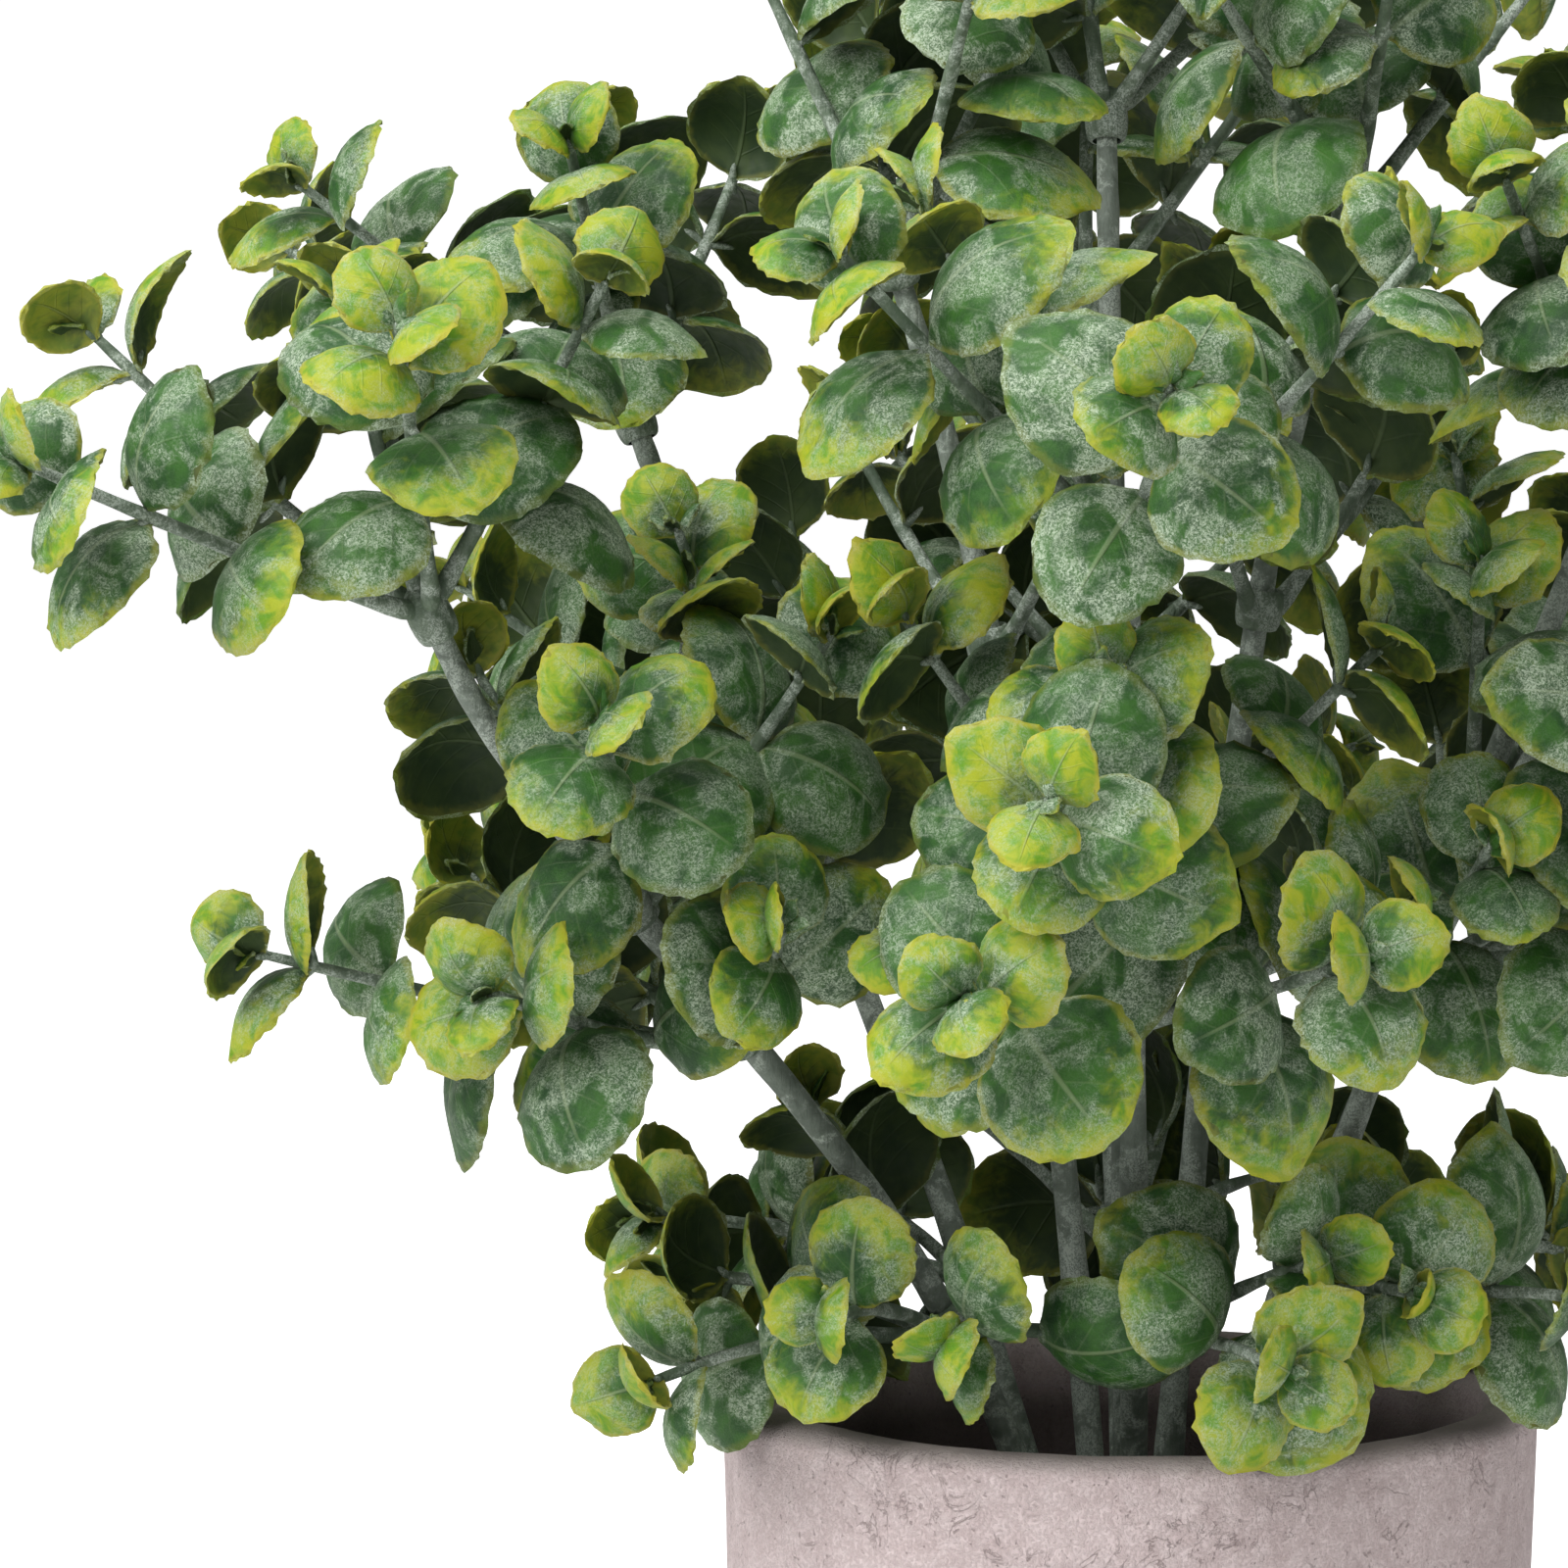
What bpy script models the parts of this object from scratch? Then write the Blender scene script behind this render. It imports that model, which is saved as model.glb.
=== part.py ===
"""An artificial leafy bush in a round cement pot, as an assembly of separate solids.

A moulded hub is pushed into a foam plug inside the pot. Nine wire-cored stems fan out of the hub: six
outer ones, each in its own sixth of a circle, and three inner ones in the cone between them. Moulded
sprays are pushed onto each stem by their sleeves, four on an outer stem and three on an inner one. A spray
is one moulding: a sleeve, three to six shoots, and pairs of round leaves along each shoot.

Metres, +Z up. The origin is the centre of the pot's underside. Azimuths run from +X towards +Y.
"""

import math
import random

import bmesh
import bpy
from mathutils import Matrix, Vector
from mathutils.bvhtree import BVHTree

# ---- driving dimensions ----
POT_HEIGHT = 0.088
POT_RIM_RADIUS = 0.0475
POT_FOOT_RADIUS = 0.0452
POT_WALL = 0.0066
POT_FLOOR = 0.009
RIM_ROUND = 0.0024
FOOT_CHAMFER = 0.0012
FIT_GAP = 0.0003
SHARP_EDGE = math.radians(35)

PLUG_TOP = 0.0575
HUB_TOP = 0.063
HUB_RADIUS = 0.0125
HUB_CHAMFER = 0.001
PRONG_RADIUS = 0.006
PRONG_LENGTH = 0.034
SOCKET_RADIUS = 0.0017
SOCKET_DEPTH = 0.0042

OUTER_FOOT_RADIUS = 0.0086
INNER_FOOT_RADIUS = 0.0037
STEM_FOOT_R = 0.0019
STEM_TIP_R = 0.0014
STEM_LIFT = 0.0021
STEM_POINTS = 8
STEM_SIDES = 6
OUTER_FOOT_LEAN = 17
INNER_FOOT_LEAN = 5
STEM_TIP_RISE = 68
BORE_R = 0.00098
WIRE_R = 0.00055
WIRE_TAIL = 0.0032
WIRE_END_GAP = 0.0006

SLEEVE_LENGTH = 0.005
SLEEVE_WALL = 0.0009
CROWN_HEIGHT = 0.0018
SHOOT_ROOT_R = 0.0011
SHOOT_TIP_R = 0.0007
SHOOT_STEPS = 3
BARE_FOOT = 0.009
LEAF_DOME = 0.10

# Length of a leaf, its distance from the shoot's tip and its lean towards the tip, from the tip down.
LEAF_PAIRS = (
    ("small", 0.0100, 0.0025, 46.0),
    ("middle", 0.0140, 0.0080, 30.0),
    ("large", 0.0178, 0.0175, 14.0),
    ("large", 0.0184, 0.0295, 4.0),
)
MODELLED_KINDS = ("middle", "large")

# ---- motion ----
OUTER_LEAN_LIMIT = 8.0
INNER_LEAN_LIMIT = 2.5
SECTOR_GAP = 0.0005
POT_CLEARANCE = 0.001
WALL_CLEARANCE = 0.0015
MOUTH_DIP = 0.007
# The cone between the inner and the outer stems, as two heights with its radius there.
INNER_CONE = ((0.085, 0.012), (0.285, 0.070))


def polar(azimuth, rise, length=1.0):
    a, e = math.radians(azimuth), math.radians(rise)
    return Vector((math.cos(a) * math.cos(e), math.sin(a) * math.cos(e), math.sin(e))) * length


# ---- the planting plan ----
# Outer stems: azimuth, tip radius, tip height, sideways sway of the tip. Inner stems likewise.
OUTER_STEMS = (
    (210, 0.094, 0.184, 0.003),
    (270, 0.060, 0.192, -0.003),
    (330, 0.060, 0.200, 0.003),
    (30, 0.078, 0.204, -0.003),
    (90, 0.066, 0.214, 0.003),
    (150, 0.070, 0.202, -0.003),
)
INNER_STEMS = (
    (210, 0.034, 0.222, 0.002),
    (330, 0.030, 0.228, -0.002),
    (90, 0.030, 0.238, 0.002),
)
# Sprays of a stem, from the foot up: the stem's segment that the sleeve sits on, then its shoots as turn
# from the stem's outward direction, rise above the horizon, length in millimetres, and curl upwards.
OUTER_SPRAYS = (
    (1, ((-42, 16, 34, -20), (0, 9, 40, -22), (42, 16, 34, -20), (-15, 42, 30, 4))),
    (3, ((-72, 14, 38, 6), (-24, 6, 58, 6), (26, 8, 46, 8), (76, 18, 38, 6), (0, 40, 38, 4))),
    (4, ((-84, 34, 40, 6), (-30, 16, 54, 6), (28, 20, 44, 8),
         (90, 40, 38, 6), (2, 46, 42, 4), (150, 50, 36, 4))),
    (6, ((-96, 54, 40, 0), (-44, 42, 50, 4), (4, 22, 50, 8),
         (50, 38, 46, 4), (100, 56, 40, 0), (180, 76, 36, 0))),
)
INNER_SPRAYS = (
    (2, ((-55, 26, 28, 12), (55, 30, 28, 12), (0, 14, 28, 18))),
    (4, ((-75, 34, 34, 8), (-5, 22, 36, 12), (70, 36, 34, 8), (-32, 50, 38, 4), (34, 52, 38, 4))),
    (6, ((-110, 50, 38, 0), (-50, 38, 42, 2), (0, 24, 42, 4),
         (50, 40, 42, 2), (110, 54, 38, 0), (180, 80, 34, 0))),
)


# ---- mesh helpers ----
def new_object(name, mesh, material):
    obj = bpy.data.objects.new(name, mesh)
    bpy.context.scene.collection.objects.link(obj)
    obj.data.materials.append(material)
    return obj


def mesh_from(name, bm, smooth=False):
    mesh = bpy.data.meshes.new(name)
    bm.to_mesh(mesh)
    bm.free()
    if smooth:
        mesh.shade_smooth()
        mesh.set_sharp_from_angle(angle=SHARP_EDGE)
    return mesh


def turned(name, profile, steps):
    """A solid of revolution about Z. The profile runs from the axis to the axis."""
    bm = bmesh.new()
    verts = [bm.verts.new((r, 0, z)) for r, z in profile]
    edges = [bm.edges.new(pair) for pair in zip(verts, verts[1:])]
    bmesh.ops.spin(
        bm, geom=verts + edges, cent=(0, 0, 0), axis=(0, 0, 1), angle=math.tau, steps=steps, use_merge=True
    )
    bmesh.ops.remove_doubles(bm, verts=bm.verts, dist=1e-6)
    bmesh.ops.recalc_face_normals(bm, faces=bm.faces)
    return mesh_from(name, bm, smooth=True)


def arc(centre, radius, start, stop, steps):
    """Points of an arc in the (radius, height) plane, angles in degrees."""
    angles = [math.radians(start + (stop - start) * k / steps) for k in range(steps + 1)]
    return [(centre[0] + radius * math.cos(a), centre[1] + radius * math.sin(a)) for a in angles]


def path_frames(points):
    """A (centre, across, up) triple for each point, turned from one point to the next without twisting."""
    frames = []
    across = None
    for k, point in enumerate(points):
        before = points[max(k - 1, 0)]
        after = points[min(k + 1, len(points) - 1)]
        along = (after - before).normalized()
        if across is None:
            across = along.orthogonal().normalized()
        across = (across - along * across.dot(along)).normalized()
        frames.append((point, across, along.cross(across)))
    return frames


def ring(bm, frame, radius, sides):
    centre, across, up = frame
    angles = [math.tau * k / sides for k in range(sides)]
    return [bm.verts.new(centre + (across * math.cos(a) + up * math.sin(a)) * radius) for a in angles]


def bridge(bm, first, second):
    for k in range(len(first)):
        j = (k + 1) % len(first)
        bm.faces.new((first[k], first[j], second[j], second[k]))


def add_tube(bm, points, radii, sides):
    rings = [ring(bm, f, r, sides) for f, r in zip(path_frames(points), radii)]
    for first, second in zip(rings, rings[1:]):
        bridge(bm, first, second)
    bm.faces.new(reversed(rings[0]))
    bm.faces.new(rings[-1])


def add_sleeve(bm, points, outer_r, inner_r, sides, closed_from=None):
    """A hollow tube along the points. With closed_from, its bore ends at that point and the top is shut."""
    frames = path_frames(points)
    outer = [ring(bm, f, r, sides) for f, r in zip(frames, outer_r)]
    last = len(points) if closed_from is None else closed_from + 1
    inner = [ring(bm, f, r, sides) for f, r in zip(frames[:last], inner_r)]
    for first, second in zip(outer, outer[1:]):
        bridge(bm, first, second)
    for first, second in zip(inner, inner[1:]):
        bridge(bm, second, first)
    bridge(bm, inner[0], outer[0])
    if closed_from is None:
        bridge(bm, outer[-1], inner[-1])
    else:
        bm.faces.new(outer[-1])
        bm.faces.new(reversed(inner[-1]))


# ---- layout: where every stem, shoot and leaf goes ----
def bezier(controls, count):
    a, b, c, d = controls
    found = []
    for k in range(count):
        t = k / (count - 1)
        s = 1 - t
        found.append(a * s**3 + b * 3 * s * s * t + c * 3 * s * t * t + d * t**3)
    return found


def stem_path(azimuth, foot_radius, lean, tip_radius, tip_height, sway):
    """A stem's pivot on the hub, its direction there, and its centreline from above the hub to its tip."""
    out = polar(azimuth, 0)
    side = Vector((-out.y, out.x, 0))
    pivot = out * foot_radius + Vector((0, 0, HUB_TOP))
    start = polar(azimuth, 90 - lean)
    foot = pivot + start * STEM_LIFT
    tip = out * tip_radius + side * sway + Vector((0, 0, tip_height))
    reach = (tip - foot).length
    end = polar(azimuth, STEM_TIP_RISE)
    low_pull, high_pull = 0.42 * reach, 0.25 * reach
    corners = (foot, foot + start * low_pull, tip - end * high_pull, tip)
    return pivot, start, bezier(corners, STEM_POINTS)


def stem_radius(k):
    return STEM_FOOT_R + (STEM_TIP_R - STEM_FOOT_R) * k / (STEM_POINTS - 1)


def shoot_path(start, heading, length, curl):
    """A shoot's centreline. It turns towards the vertical by curl degrees over its length."""
    points = [start]
    here = heading.normalized()
    axis = here.cross(Vector((0, 0, 1)))
    nearly_upright = axis.length < 0.05
    axis = Vector((1, 0, 0)) if nearly_upright else axis.normalized()
    for _ in range(SHOOT_STEPS):
        points.append(points[-1] + here * length / SHOOT_STEPS)
        here = Matrix.Rotation(math.radians(curl / SHOOT_STEPS), 3, axis) @ here
    return points


def at_distance(points, distance):
    """The point that far back from the last one along the path, and the direction there."""
    left = distance
    for after, before in zip(reversed(points), list(reversed(points))[1:]):
        step = (after - before).length
        if left <= step:
            return after + (before - after) * left / step, (after - before).normalized()
        left -= step
    return points[0], (points[1] - points[0]).normalized()


def leaf_matrix(base, along, across, lean, swing, twist):
    """Places a leaf: its length on X, its width on Y and its upper side on Z, from its base."""
    lateral = Matrix.Rotation(math.radians(swing), 3, along) @ across
    tilt = math.radians(lean)
    length = lateral * math.cos(tilt) + along * math.sin(tilt)
    face = along * math.cos(tilt) - lateral * math.sin(tilt)
    face = Matrix.Rotation(math.radians(twist), 3, length) @ face
    matrix = Matrix((length, face.cross(length), face)).transposed().to_4x4()
    matrix.translation = base
    return matrix


# A plain leaf's outline, as shares of its length and its width, from its base around. Its dome's top is last.
LEAF_OUTLINE = ((0.0, 0.0), (0.32, -0.49), (0.94, -0.30), (0.94, 0.30), (0.32, 0.49))
LEAF_FACES = ((0, 1, 5), (1, 2, 5), (2, 3, 5), (3, 4, 5), (4, 0, 5), (4, 3, 2, 1, 0))


def leaf_points(matrix, length, width, grow=0.0):
    """The flat outline of a leaf and the top of its dome. It may be grown a little for a clearance test."""
    long, wide = length * (1 + grow / 2), width * (1 + grow)
    outline = [Vector((x * long, y * wide, -grow * 0.002)) for x, y in LEAF_OUTLINE]
    top = Vector((0.5 * length, 0, (LEAF_DOME + grow) * width))
    return [matrix @ p for p in outline + [top]]


def tree_of(solids):
    """One search tree over (points, faces) pairs, or None if there are none."""
    points, faces = [], []
    for solid_points, solid_faces in solids:
        base = len(points)
        points += solid_points
        faces += [tuple(base + k for k in face) for face in solid_faces]
    return BVHTree.FromPolygons(points, faces) if faces else None


def tube_proxy(points, radius):
    """A square tube along the points, for the clearance test."""
    proxy, faces = [], []
    for centre, across, up in path_frames(points):
        proxy += [centre + (across * s + up * t) * radius for s, t in ((1, 0), (0, 1), (-1, 0), (0, -1))]
    for k in range(len(points) - 1):
        for s in range(4):
            j = (s + 1) % 4
            faces.append((4 * k + s, 4 * k + j, 4 * k + 4 + j, 4 * k + 4 + s))
    return proxy, faces


def cone_radius(height):
    (low, small), (high, large) = INNER_CONE
    share = (height - low) / (high - low)
    return small + (large - small) * min(max(share, 0.0), 1.0)


def inside_own_space(p, stem):
    """True if a point keeps to its stem's share of the air: a sector, outside or inside the middle cone."""
    for side in (-1, 1):
        normal = polar(stem["azimuth"] + side * (stem["sector"] / 2 - 90), 0)
        if p.dot(normal) < SECTOR_GAP:
            return False
    outside = math.hypot(p.x, p.y) - cone_radius(p.z)
    return outside > SECTOR_GAP if stem["outer"] else outside < -SECTOR_GAP


def in_pot(p):
    """True if a point is in the pot's wall or deep in its mouth, or nearly so."""
    reach = math.hypot(p.x, p.y)
    if p.z > POT_HEIGHT + POT_CLEARANCE or reach > POT_RIM_RADIUS + POT_CLEARANCE:
        return False
    return reach > POT_RIM_RADIUS - POT_WALL - WALL_CLEARANCE or p.z < POT_HEIGHT - MOUTH_DIP


def clear_of_fences(points, stem):
    """True if the points keep to their stem's space and miss the pot, however far the stem leans."""
    for lean in (0.0, stem["limit"] / 2, stem["limit"]):
        turn = Matrix.Rotation(math.radians(lean), 3, stem["axis"])
        for p in points:
            q = stem["pivot"] + turn @ (p - stem["pivot"])
            if in_pot(q):
                return False
            if q.z > POT_HEIGHT + POT_CLEARANCE and not inside_own_space(q, stem):
                return False
    return True


def with_middles(points):
    """The points of a leaf and the middles of its edges."""
    rim = points[1:5]
    return rim + points[5:] + [(a + b) / 2 for a, b in zip(rim, rim[1:] + rim[:1])]


def hits(solid, tree):
    return tree is not None and bool(tree_of([solid]).overlap(tree))


# Changes of a leaf's lean, swing, twist and size to try, in this order, until it is clear of all else.
LEAF_TRIES = tuple(
    (lean, swing, twist, scale)
    for scale in (1.0, 0.86, 0.74)
    for lean, swing, twist in (
        (0, 0, 0),
        (14, 0, 0),
        (-14, 0, 0),
        (0, 22, 0),
        (0, -22, 0),
        (0, 0, 28),
        (0, 0, -28),
        (28, 0, 0),
        (-30, 0, 0),
        (12, 30, 20),
        (12, -30, -20),
        (44, 0, 0),
        (-12, 38, 30),
        (-12, -38, -30),
    )
)


def place_leaf(stem, strangers, kin, base, along, across, kind, length, lean, rng):
    """The first way of setting a leaf that touches nothing, or None. At its base it joins its kin."""
    length *= rng.uniform(0.92, 1.08)
    width = length * rng.uniform(0.90, 1.06)
    lean += rng.uniform(-10, 10)
    swing = rng.uniform(-12, 12)
    twist = rng.uniform(-10, 10)
    tint = rng.random()
    for more_lean, more_swing, more_twist, scale in LEAF_TRIES:
        matrix = leaf_matrix(base, along, across, lean + more_lean, swing + more_swing, twist + more_twist)
        points = leaf_points(matrix, length * scale, width * scale, grow=0.06)
        if not clear_of_fences(with_middles(points), stem):
            continue
        if hits((points, LEAF_FACES), strangers):
            continue
        points[0] = points[0].lerp((points[2] + points[3]) / 2, 0.18)
        if not hits((points, LEAF_FACES), kin):
            return {
                "kind": kind,
                "matrix": matrix,
                "length": length * scale,
                "width": width * scale,
                "tint": tint,
            }
    return None


# The least sine of the angle between a stem and a shoot on its side, and the same above a stem's end.
ROOT_SPREAD = 0.5
CROWN_SPREAD = 0.35
CROWN_LIFT = 0.0008
SHOOT_CLEARANCE = 0.0016
# Leaves of one spray are tested at this share of their size, because at their bases they join.
KIN_SCALE = 0.9
# Changes of a shoot's turn and rise to try, in this order, until it is clear of all else.
SHOOT_TRIES = (
    (0, 0), (12, 0), (-12, 0), (0, 12), (0, -12), (24, 8), (-24, 8), (0, 24), (36, 14), (-36, 14),
)


def place_shoot(stem, centre, heading_axis, root_radius, shoot, strangers, kin, rng):
    """A shoot and its leaves, turned a little if something is in its way."""
    turn, rise, length, curl = shoot
    length = length * 0.001 * rng.uniform(0.94, 1.06)
    turn += rng.uniform(-7, 7)
    rise += rng.uniform(-6, 6)
    curl += rng.uniform(-5, 5)
    roll = rng.uniform(0, 180)
    for more_turn, more_rise in SHOOT_TRIES:
        heading = polar(stem["azimuth"] + turn + more_turn, rise + more_rise)
        sideways = heading - heading_axis * heading.dot(heading_axis)
        if stem["crowned"] and sideways.length < CROWN_SPREAD:
            start = centre + heading_axis * CROWN_LIFT
        elif stem["crowned"] or sideways.length > ROOT_SPREAD:
            start = centre + sideways.normalized() * root_radius
        else:
            continue
        points = shoot_path(start, heading, length, curl)
        whole = tube_proxy(points, SHOOT_CLEARANCE)
        outer_part = tube_proxy(points[1:], SHOOT_CLEARANCE)
        clear = clear_of_fences(whole[0], stem) and not hits(whole, strangers)
        if clear and not hits(outer_part, tree_of(kin)):
            break
    else:
        return None
    leaves = []
    for order, (kind, leaf_length, from_tip, lean) in enumerate(LEAF_PAIRS):
        if from_tip > length - BARE_FOOT:
            continue
        base, along = at_distance(points, from_tip)
        across = along.orthogonal().normalized()
        across = Matrix.Rotation(math.radians(roll + 90 * order), 3, along) @ across
        for side in (across, -across):
            near = tree_of(kin + [leaf_solid(f, KIN_SCALE) for f in leaves])
            leaf = place_leaf(stem, strangers, near, base, along, side, kind, leaf_length, lean, rng)
            if leaf:
                leaves.append(leaf)
    return {"points": points, "leaves": leaves}


def plan_stems():
    stems = []
    rows = [(f"outer_{i + 1}", True, *row) for i, row in enumerate(OUTER_STEMS)]
    rows += [(f"inner_{i + 1}", False, *row) for i, row in enumerate(INNER_STEMS)]
    for name, outer, azimuth, tip_radius, tip_height, sway in rows:
        foot_radius = OUTER_FOOT_RADIUS if outer else INNER_FOOT_RADIUS
        lean = OUTER_FOOT_LEAN if outer else INNER_FOOT_LEAN
        pivot, start, path = stem_path(azimuth, foot_radius, lean, tip_radius, tip_height, sway)
        stems.append(
            {
                "name": name,
                "outer": outer,
                "azimuth": azimuth,
                "pivot": pivot,
                "start": start,
                "axis": polar(azimuth + 90, 0),
                "path": path,
                "sector": 360 / (len(OUTER_STEMS) if outer else len(INNER_STEMS)),
                "limit": OUTER_LEAN_LIMIT if outer else INNER_LEAN_LIMIT,
                "crowned": False,
            }
        )
    return stems


def leaf_solid(leaf, scale=1.0):
    return leaf_points(leaf["matrix"], leaf["length"] * scale, leaf["width"] * scale), LEAF_FACES


def plan_sleeves(stems):
    """Every spray's place on its stem, level by level, before any shoot is grown."""
    sprays = []
    for level in range(len(OUTER_SPRAYS)):
        for stem in stems:
            rows = OUTER_SPRAYS if stem["outer"] else INNER_SPRAYS
            if level >= len(rows):
                continue
            segment, shoots = rows[level]
            top = segment == STEM_POINTS - 2
            low, high = stem["path"][segment], stem["path"][segment + 1]
            axis = (high - low).normalized()
            # The sleeve's inner flats clear the stem's corners by the fit gap.
            bore = (stem_radius(segment) + FIT_GAP) / math.cos(math.pi / STEM_SIDES)
            centre = high if top else (low + high) / 2
            sprays.append(
                {
                    "stem": stem,
                    "top": top,
                    "centre": centre,
                    "axis": axis,
                    "bore": bore,
                    "rows": shoots,
                    "shoots": [],
                }
            )
    return sprays


def sleeve_proxy(spray):
    centre, axis = spray["centre"], spray["axis"]
    low = centre - axis * (SLEEVE_LENGTH if spray["top"] else SLEEVE_LENGTH / 2)
    high = centre + axis * (CROWN_HEIGHT + 0.0002 if spray["top"] else SLEEVE_LENGTH / 2)
    return tube_proxy([low, high], (spray["bore"] + SLEEVE_WALL) * 1.3)


def shoot_solids(shoots, scale=1.0):
    solids = [tube_proxy(shoot["points"], SHOOT_ROOT_R * 1.2) for shoot in shoots]
    return solids + [leaf_solid(leaf, scale) for shoot in shoots for leaf in shoot["leaves"]]


def plan_sprays(stems):
    """Every spray with its shoots and leaves, each clear of all that came before it."""
    rng = random.Random(31)
    sprays = plan_sleeves(stems)
    grown = []
    for spray in sprays:
        stem = spray["stem"]
        stem["crowned"] = spray["top"]
        strangers = [tube_proxy(s["path"], STEM_FOOT_R + FIT_GAP) for s in stems if s is not stem]
        strangers += [sleeve_proxy(s) for s in sprays if s is not spray]
        before = tree_of(strangers + grown)
        own_stem = tube_proxy(stem["path"], STEM_FOOT_R + FIT_GAP)
        for row in spray["rows"]:
            kin = [own_stem] + shoot_solids(spray["shoots"], KIN_SCALE)
            root = spray["bore"] + 0.0005
            made = place_shoot(stem, spray["centre"], spray["axis"], root, row, before, kin, rng)
            if made:
                spray["shoots"].append(made)
        grown += shoot_solids(spray["shoots"])
    return sprays


# ---- the pieces ----
def material(name, colour, roughness, metallic=0.0):
    made = bpy.data.materials.new(name)
    made.use_nodes = True
    shader = made.node_tree.nodes["Principled BSDF"]
    shader.inputs["Base Color"].default_value = (*colour, 1)
    shader.inputs["Roughness"].default_value = roughness
    shader.inputs["Metallic"].default_value = metallic
    return made


def pot_profile():
    inner_rim = POT_RIM_RADIUS - POT_WALL
    inner_foot = POT_FOOT_RADIUS - POT_WALL
    outer_round = arc((POT_RIM_RADIUS - RIM_ROUND, POT_HEIGHT - RIM_ROUND), RIM_ROUND, 0, 90, 3)
    inner_r = RIM_ROUND * 0.7
    inner_round = arc((inner_rim + inner_r, POT_HEIGHT - inner_r), inner_r, 90, 180, 2)
    return (
        [(0, 0), (POT_FOOT_RADIUS - FOOT_CHAMFER, 0), (POT_FOOT_RADIUS, FOOT_CHAMFER)]
        + outer_round
        + inner_round
        + [(inner_foot, POT_FLOOR), (0, POT_FLOOR)]
    )


def plug_radius(height):
    share = height / POT_HEIGHT
    outer = POT_FOOT_RADIUS + (POT_RIM_RADIUS - POT_FOOT_RADIUS) * share
    return outer - POT_WALL - 2 * FIT_GAP


def plug_profile():
    bottom = POT_FLOOR + FIT_GAP
    hole = PRONG_RADIUS + FIT_GAP
    hole_bottom = PLUG_TOP - PRONG_LENGTH - FIT_GAP
    return [
        (0, bottom),
        (plug_radius(bottom), bottom),
        (plug_radius(PLUG_TOP), PLUG_TOP),
        (hole, PLUG_TOP),
        (hole, hole_bottom),
        (0, hole_bottom),
    ]


def hub_profile():
    under = PLUG_TOP + FIT_GAP
    return [
        (0, PLUG_TOP - PRONG_LENGTH),
        (PRONG_RADIUS * 0.5, PLUG_TOP - PRONG_LENGTH),
        (PRONG_RADIUS, PLUG_TOP - PRONG_LENGTH * 0.8),
        (PRONG_RADIUS, under),
        (HUB_RADIUS, under),
        (HUB_RADIUS, HUB_TOP - HUB_CHAMFER),
        (HUB_RADIUS - HUB_CHAMFER, HUB_TOP),
        (0, HUB_TOP),
    ]


def evaluated_mesh(obj):
    graph = bpy.context.evaluated_depsgraph_get()
    return bpy.data.meshes.new_from_object(obj.evaluated_get(graph))


def combined(obj, tool_mesh, operation):
    """Applies a Boolean with a throwaway tool object."""
    tool = bpy.data.objects.new("tool", tool_mesh)
    bpy.context.scene.collection.objects.link(tool)
    cut = obj.modifiers.new("cut", "BOOLEAN")
    cut.operation = operation
    cut.solver = "EXACT"
    cut.use_self = True
    cut.object = tool
    bpy.context.view_layer.update()
    mesh = evaluated_mesh(obj)
    obj.modifiers.clear()
    old = obj.data
    obj.data = mesh
    mesh.name = obj.name
    bpy.data.objects.remove(tool)
    bpy.data.meshes.remove(old)


def hinge_empty(stem, hub):
    """An empty on a stem's bending axis, carried by the hub."""
    empty = bpy.data.objects.new(f"bend_{stem['name']}", None)
    bpy.context.scene.collection.objects.link(empty)
    empty.location = stem["pivot"]
    empty.parent = hub
    return empty


def hang_on(obj, empty, pivot):
    """Parents a piece to its hinge without moving it."""
    obj.parent = empty
    obj.matrix_parent_inverse = Matrix.Translation(-pivot)


def make_hub(stems, plastic):
    hub = new_object("bush_hub", turned("bush_hub", hub_profile(), 24), plastic)
    bm = bmesh.new()
    for stem in stems:
        bottom = stem["pivot"] - stem["start"] * SOCKET_DEPTH
        above_hub = stem["pivot"] + stem["start"] * STEM_LIFT
        add_tube(bm, [bottom, above_hub], [SOCKET_RADIUS, SOCKET_RADIUS], STEM_SIDES)
    combined(hub, mesh_from("sockets", bm), "DIFFERENCE")
    return hub


def make_stem(stem, plastic, steel):
    path = stem["path"]
    outer = [stem_radius(k) for k in range(STEM_POINTS)]
    bm = bmesh.new()
    bore = [BORE_R] * (STEM_POINTS - 1)
    add_sleeve(bm, path, outer, bore, STEM_SIDES, closed_from=STEM_POINTS - 2)
    tube = new_object(f"stem_{stem['name']}", mesh_from("stem", bm, smooth=True), plastic)
    hang_on(tube, stem["hinge"], stem["pivot"])
    tail = stem["pivot"] - stem["start"] * WIRE_TAIL
    end = path[-2] - (path[-2] - path[-3]).normalized() * WIRE_END_GAP
    points = [tail] + path[:-2] + [end]
    bm = bmesh.new()
    add_tube(bm, points, [WIRE_R] * len(points), 4)
    wire = new_object(f"wire_{stem['name']}", mesh_from("wire", bm, smooth=True), steel)
    hang_on(wire, stem["hinge"], stem["pivot"])


def sleeve_shell(bm, spray):
    axis, centre, bore = spray["axis"], spray["centre"], spray["bore"]
    outer = bore + SLEEVE_WALL
    if spray["top"]:
        points = [centre - axis * SLEEVE_LENGTH, centre + axis * FIT_GAP, centre + axis * CROWN_HEIGHT]
        add_sleeve(bm, points, [outer, outer, outer * 0.6], [bore, bore], STEM_SIDES, closed_from=1)
    else:
        half = axis * SLEEVE_LENGTH / 2
        add_sleeve(bm, [centre - half, centre + half], [outer, outer], [bore, bore], STEM_SIDES)


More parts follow.
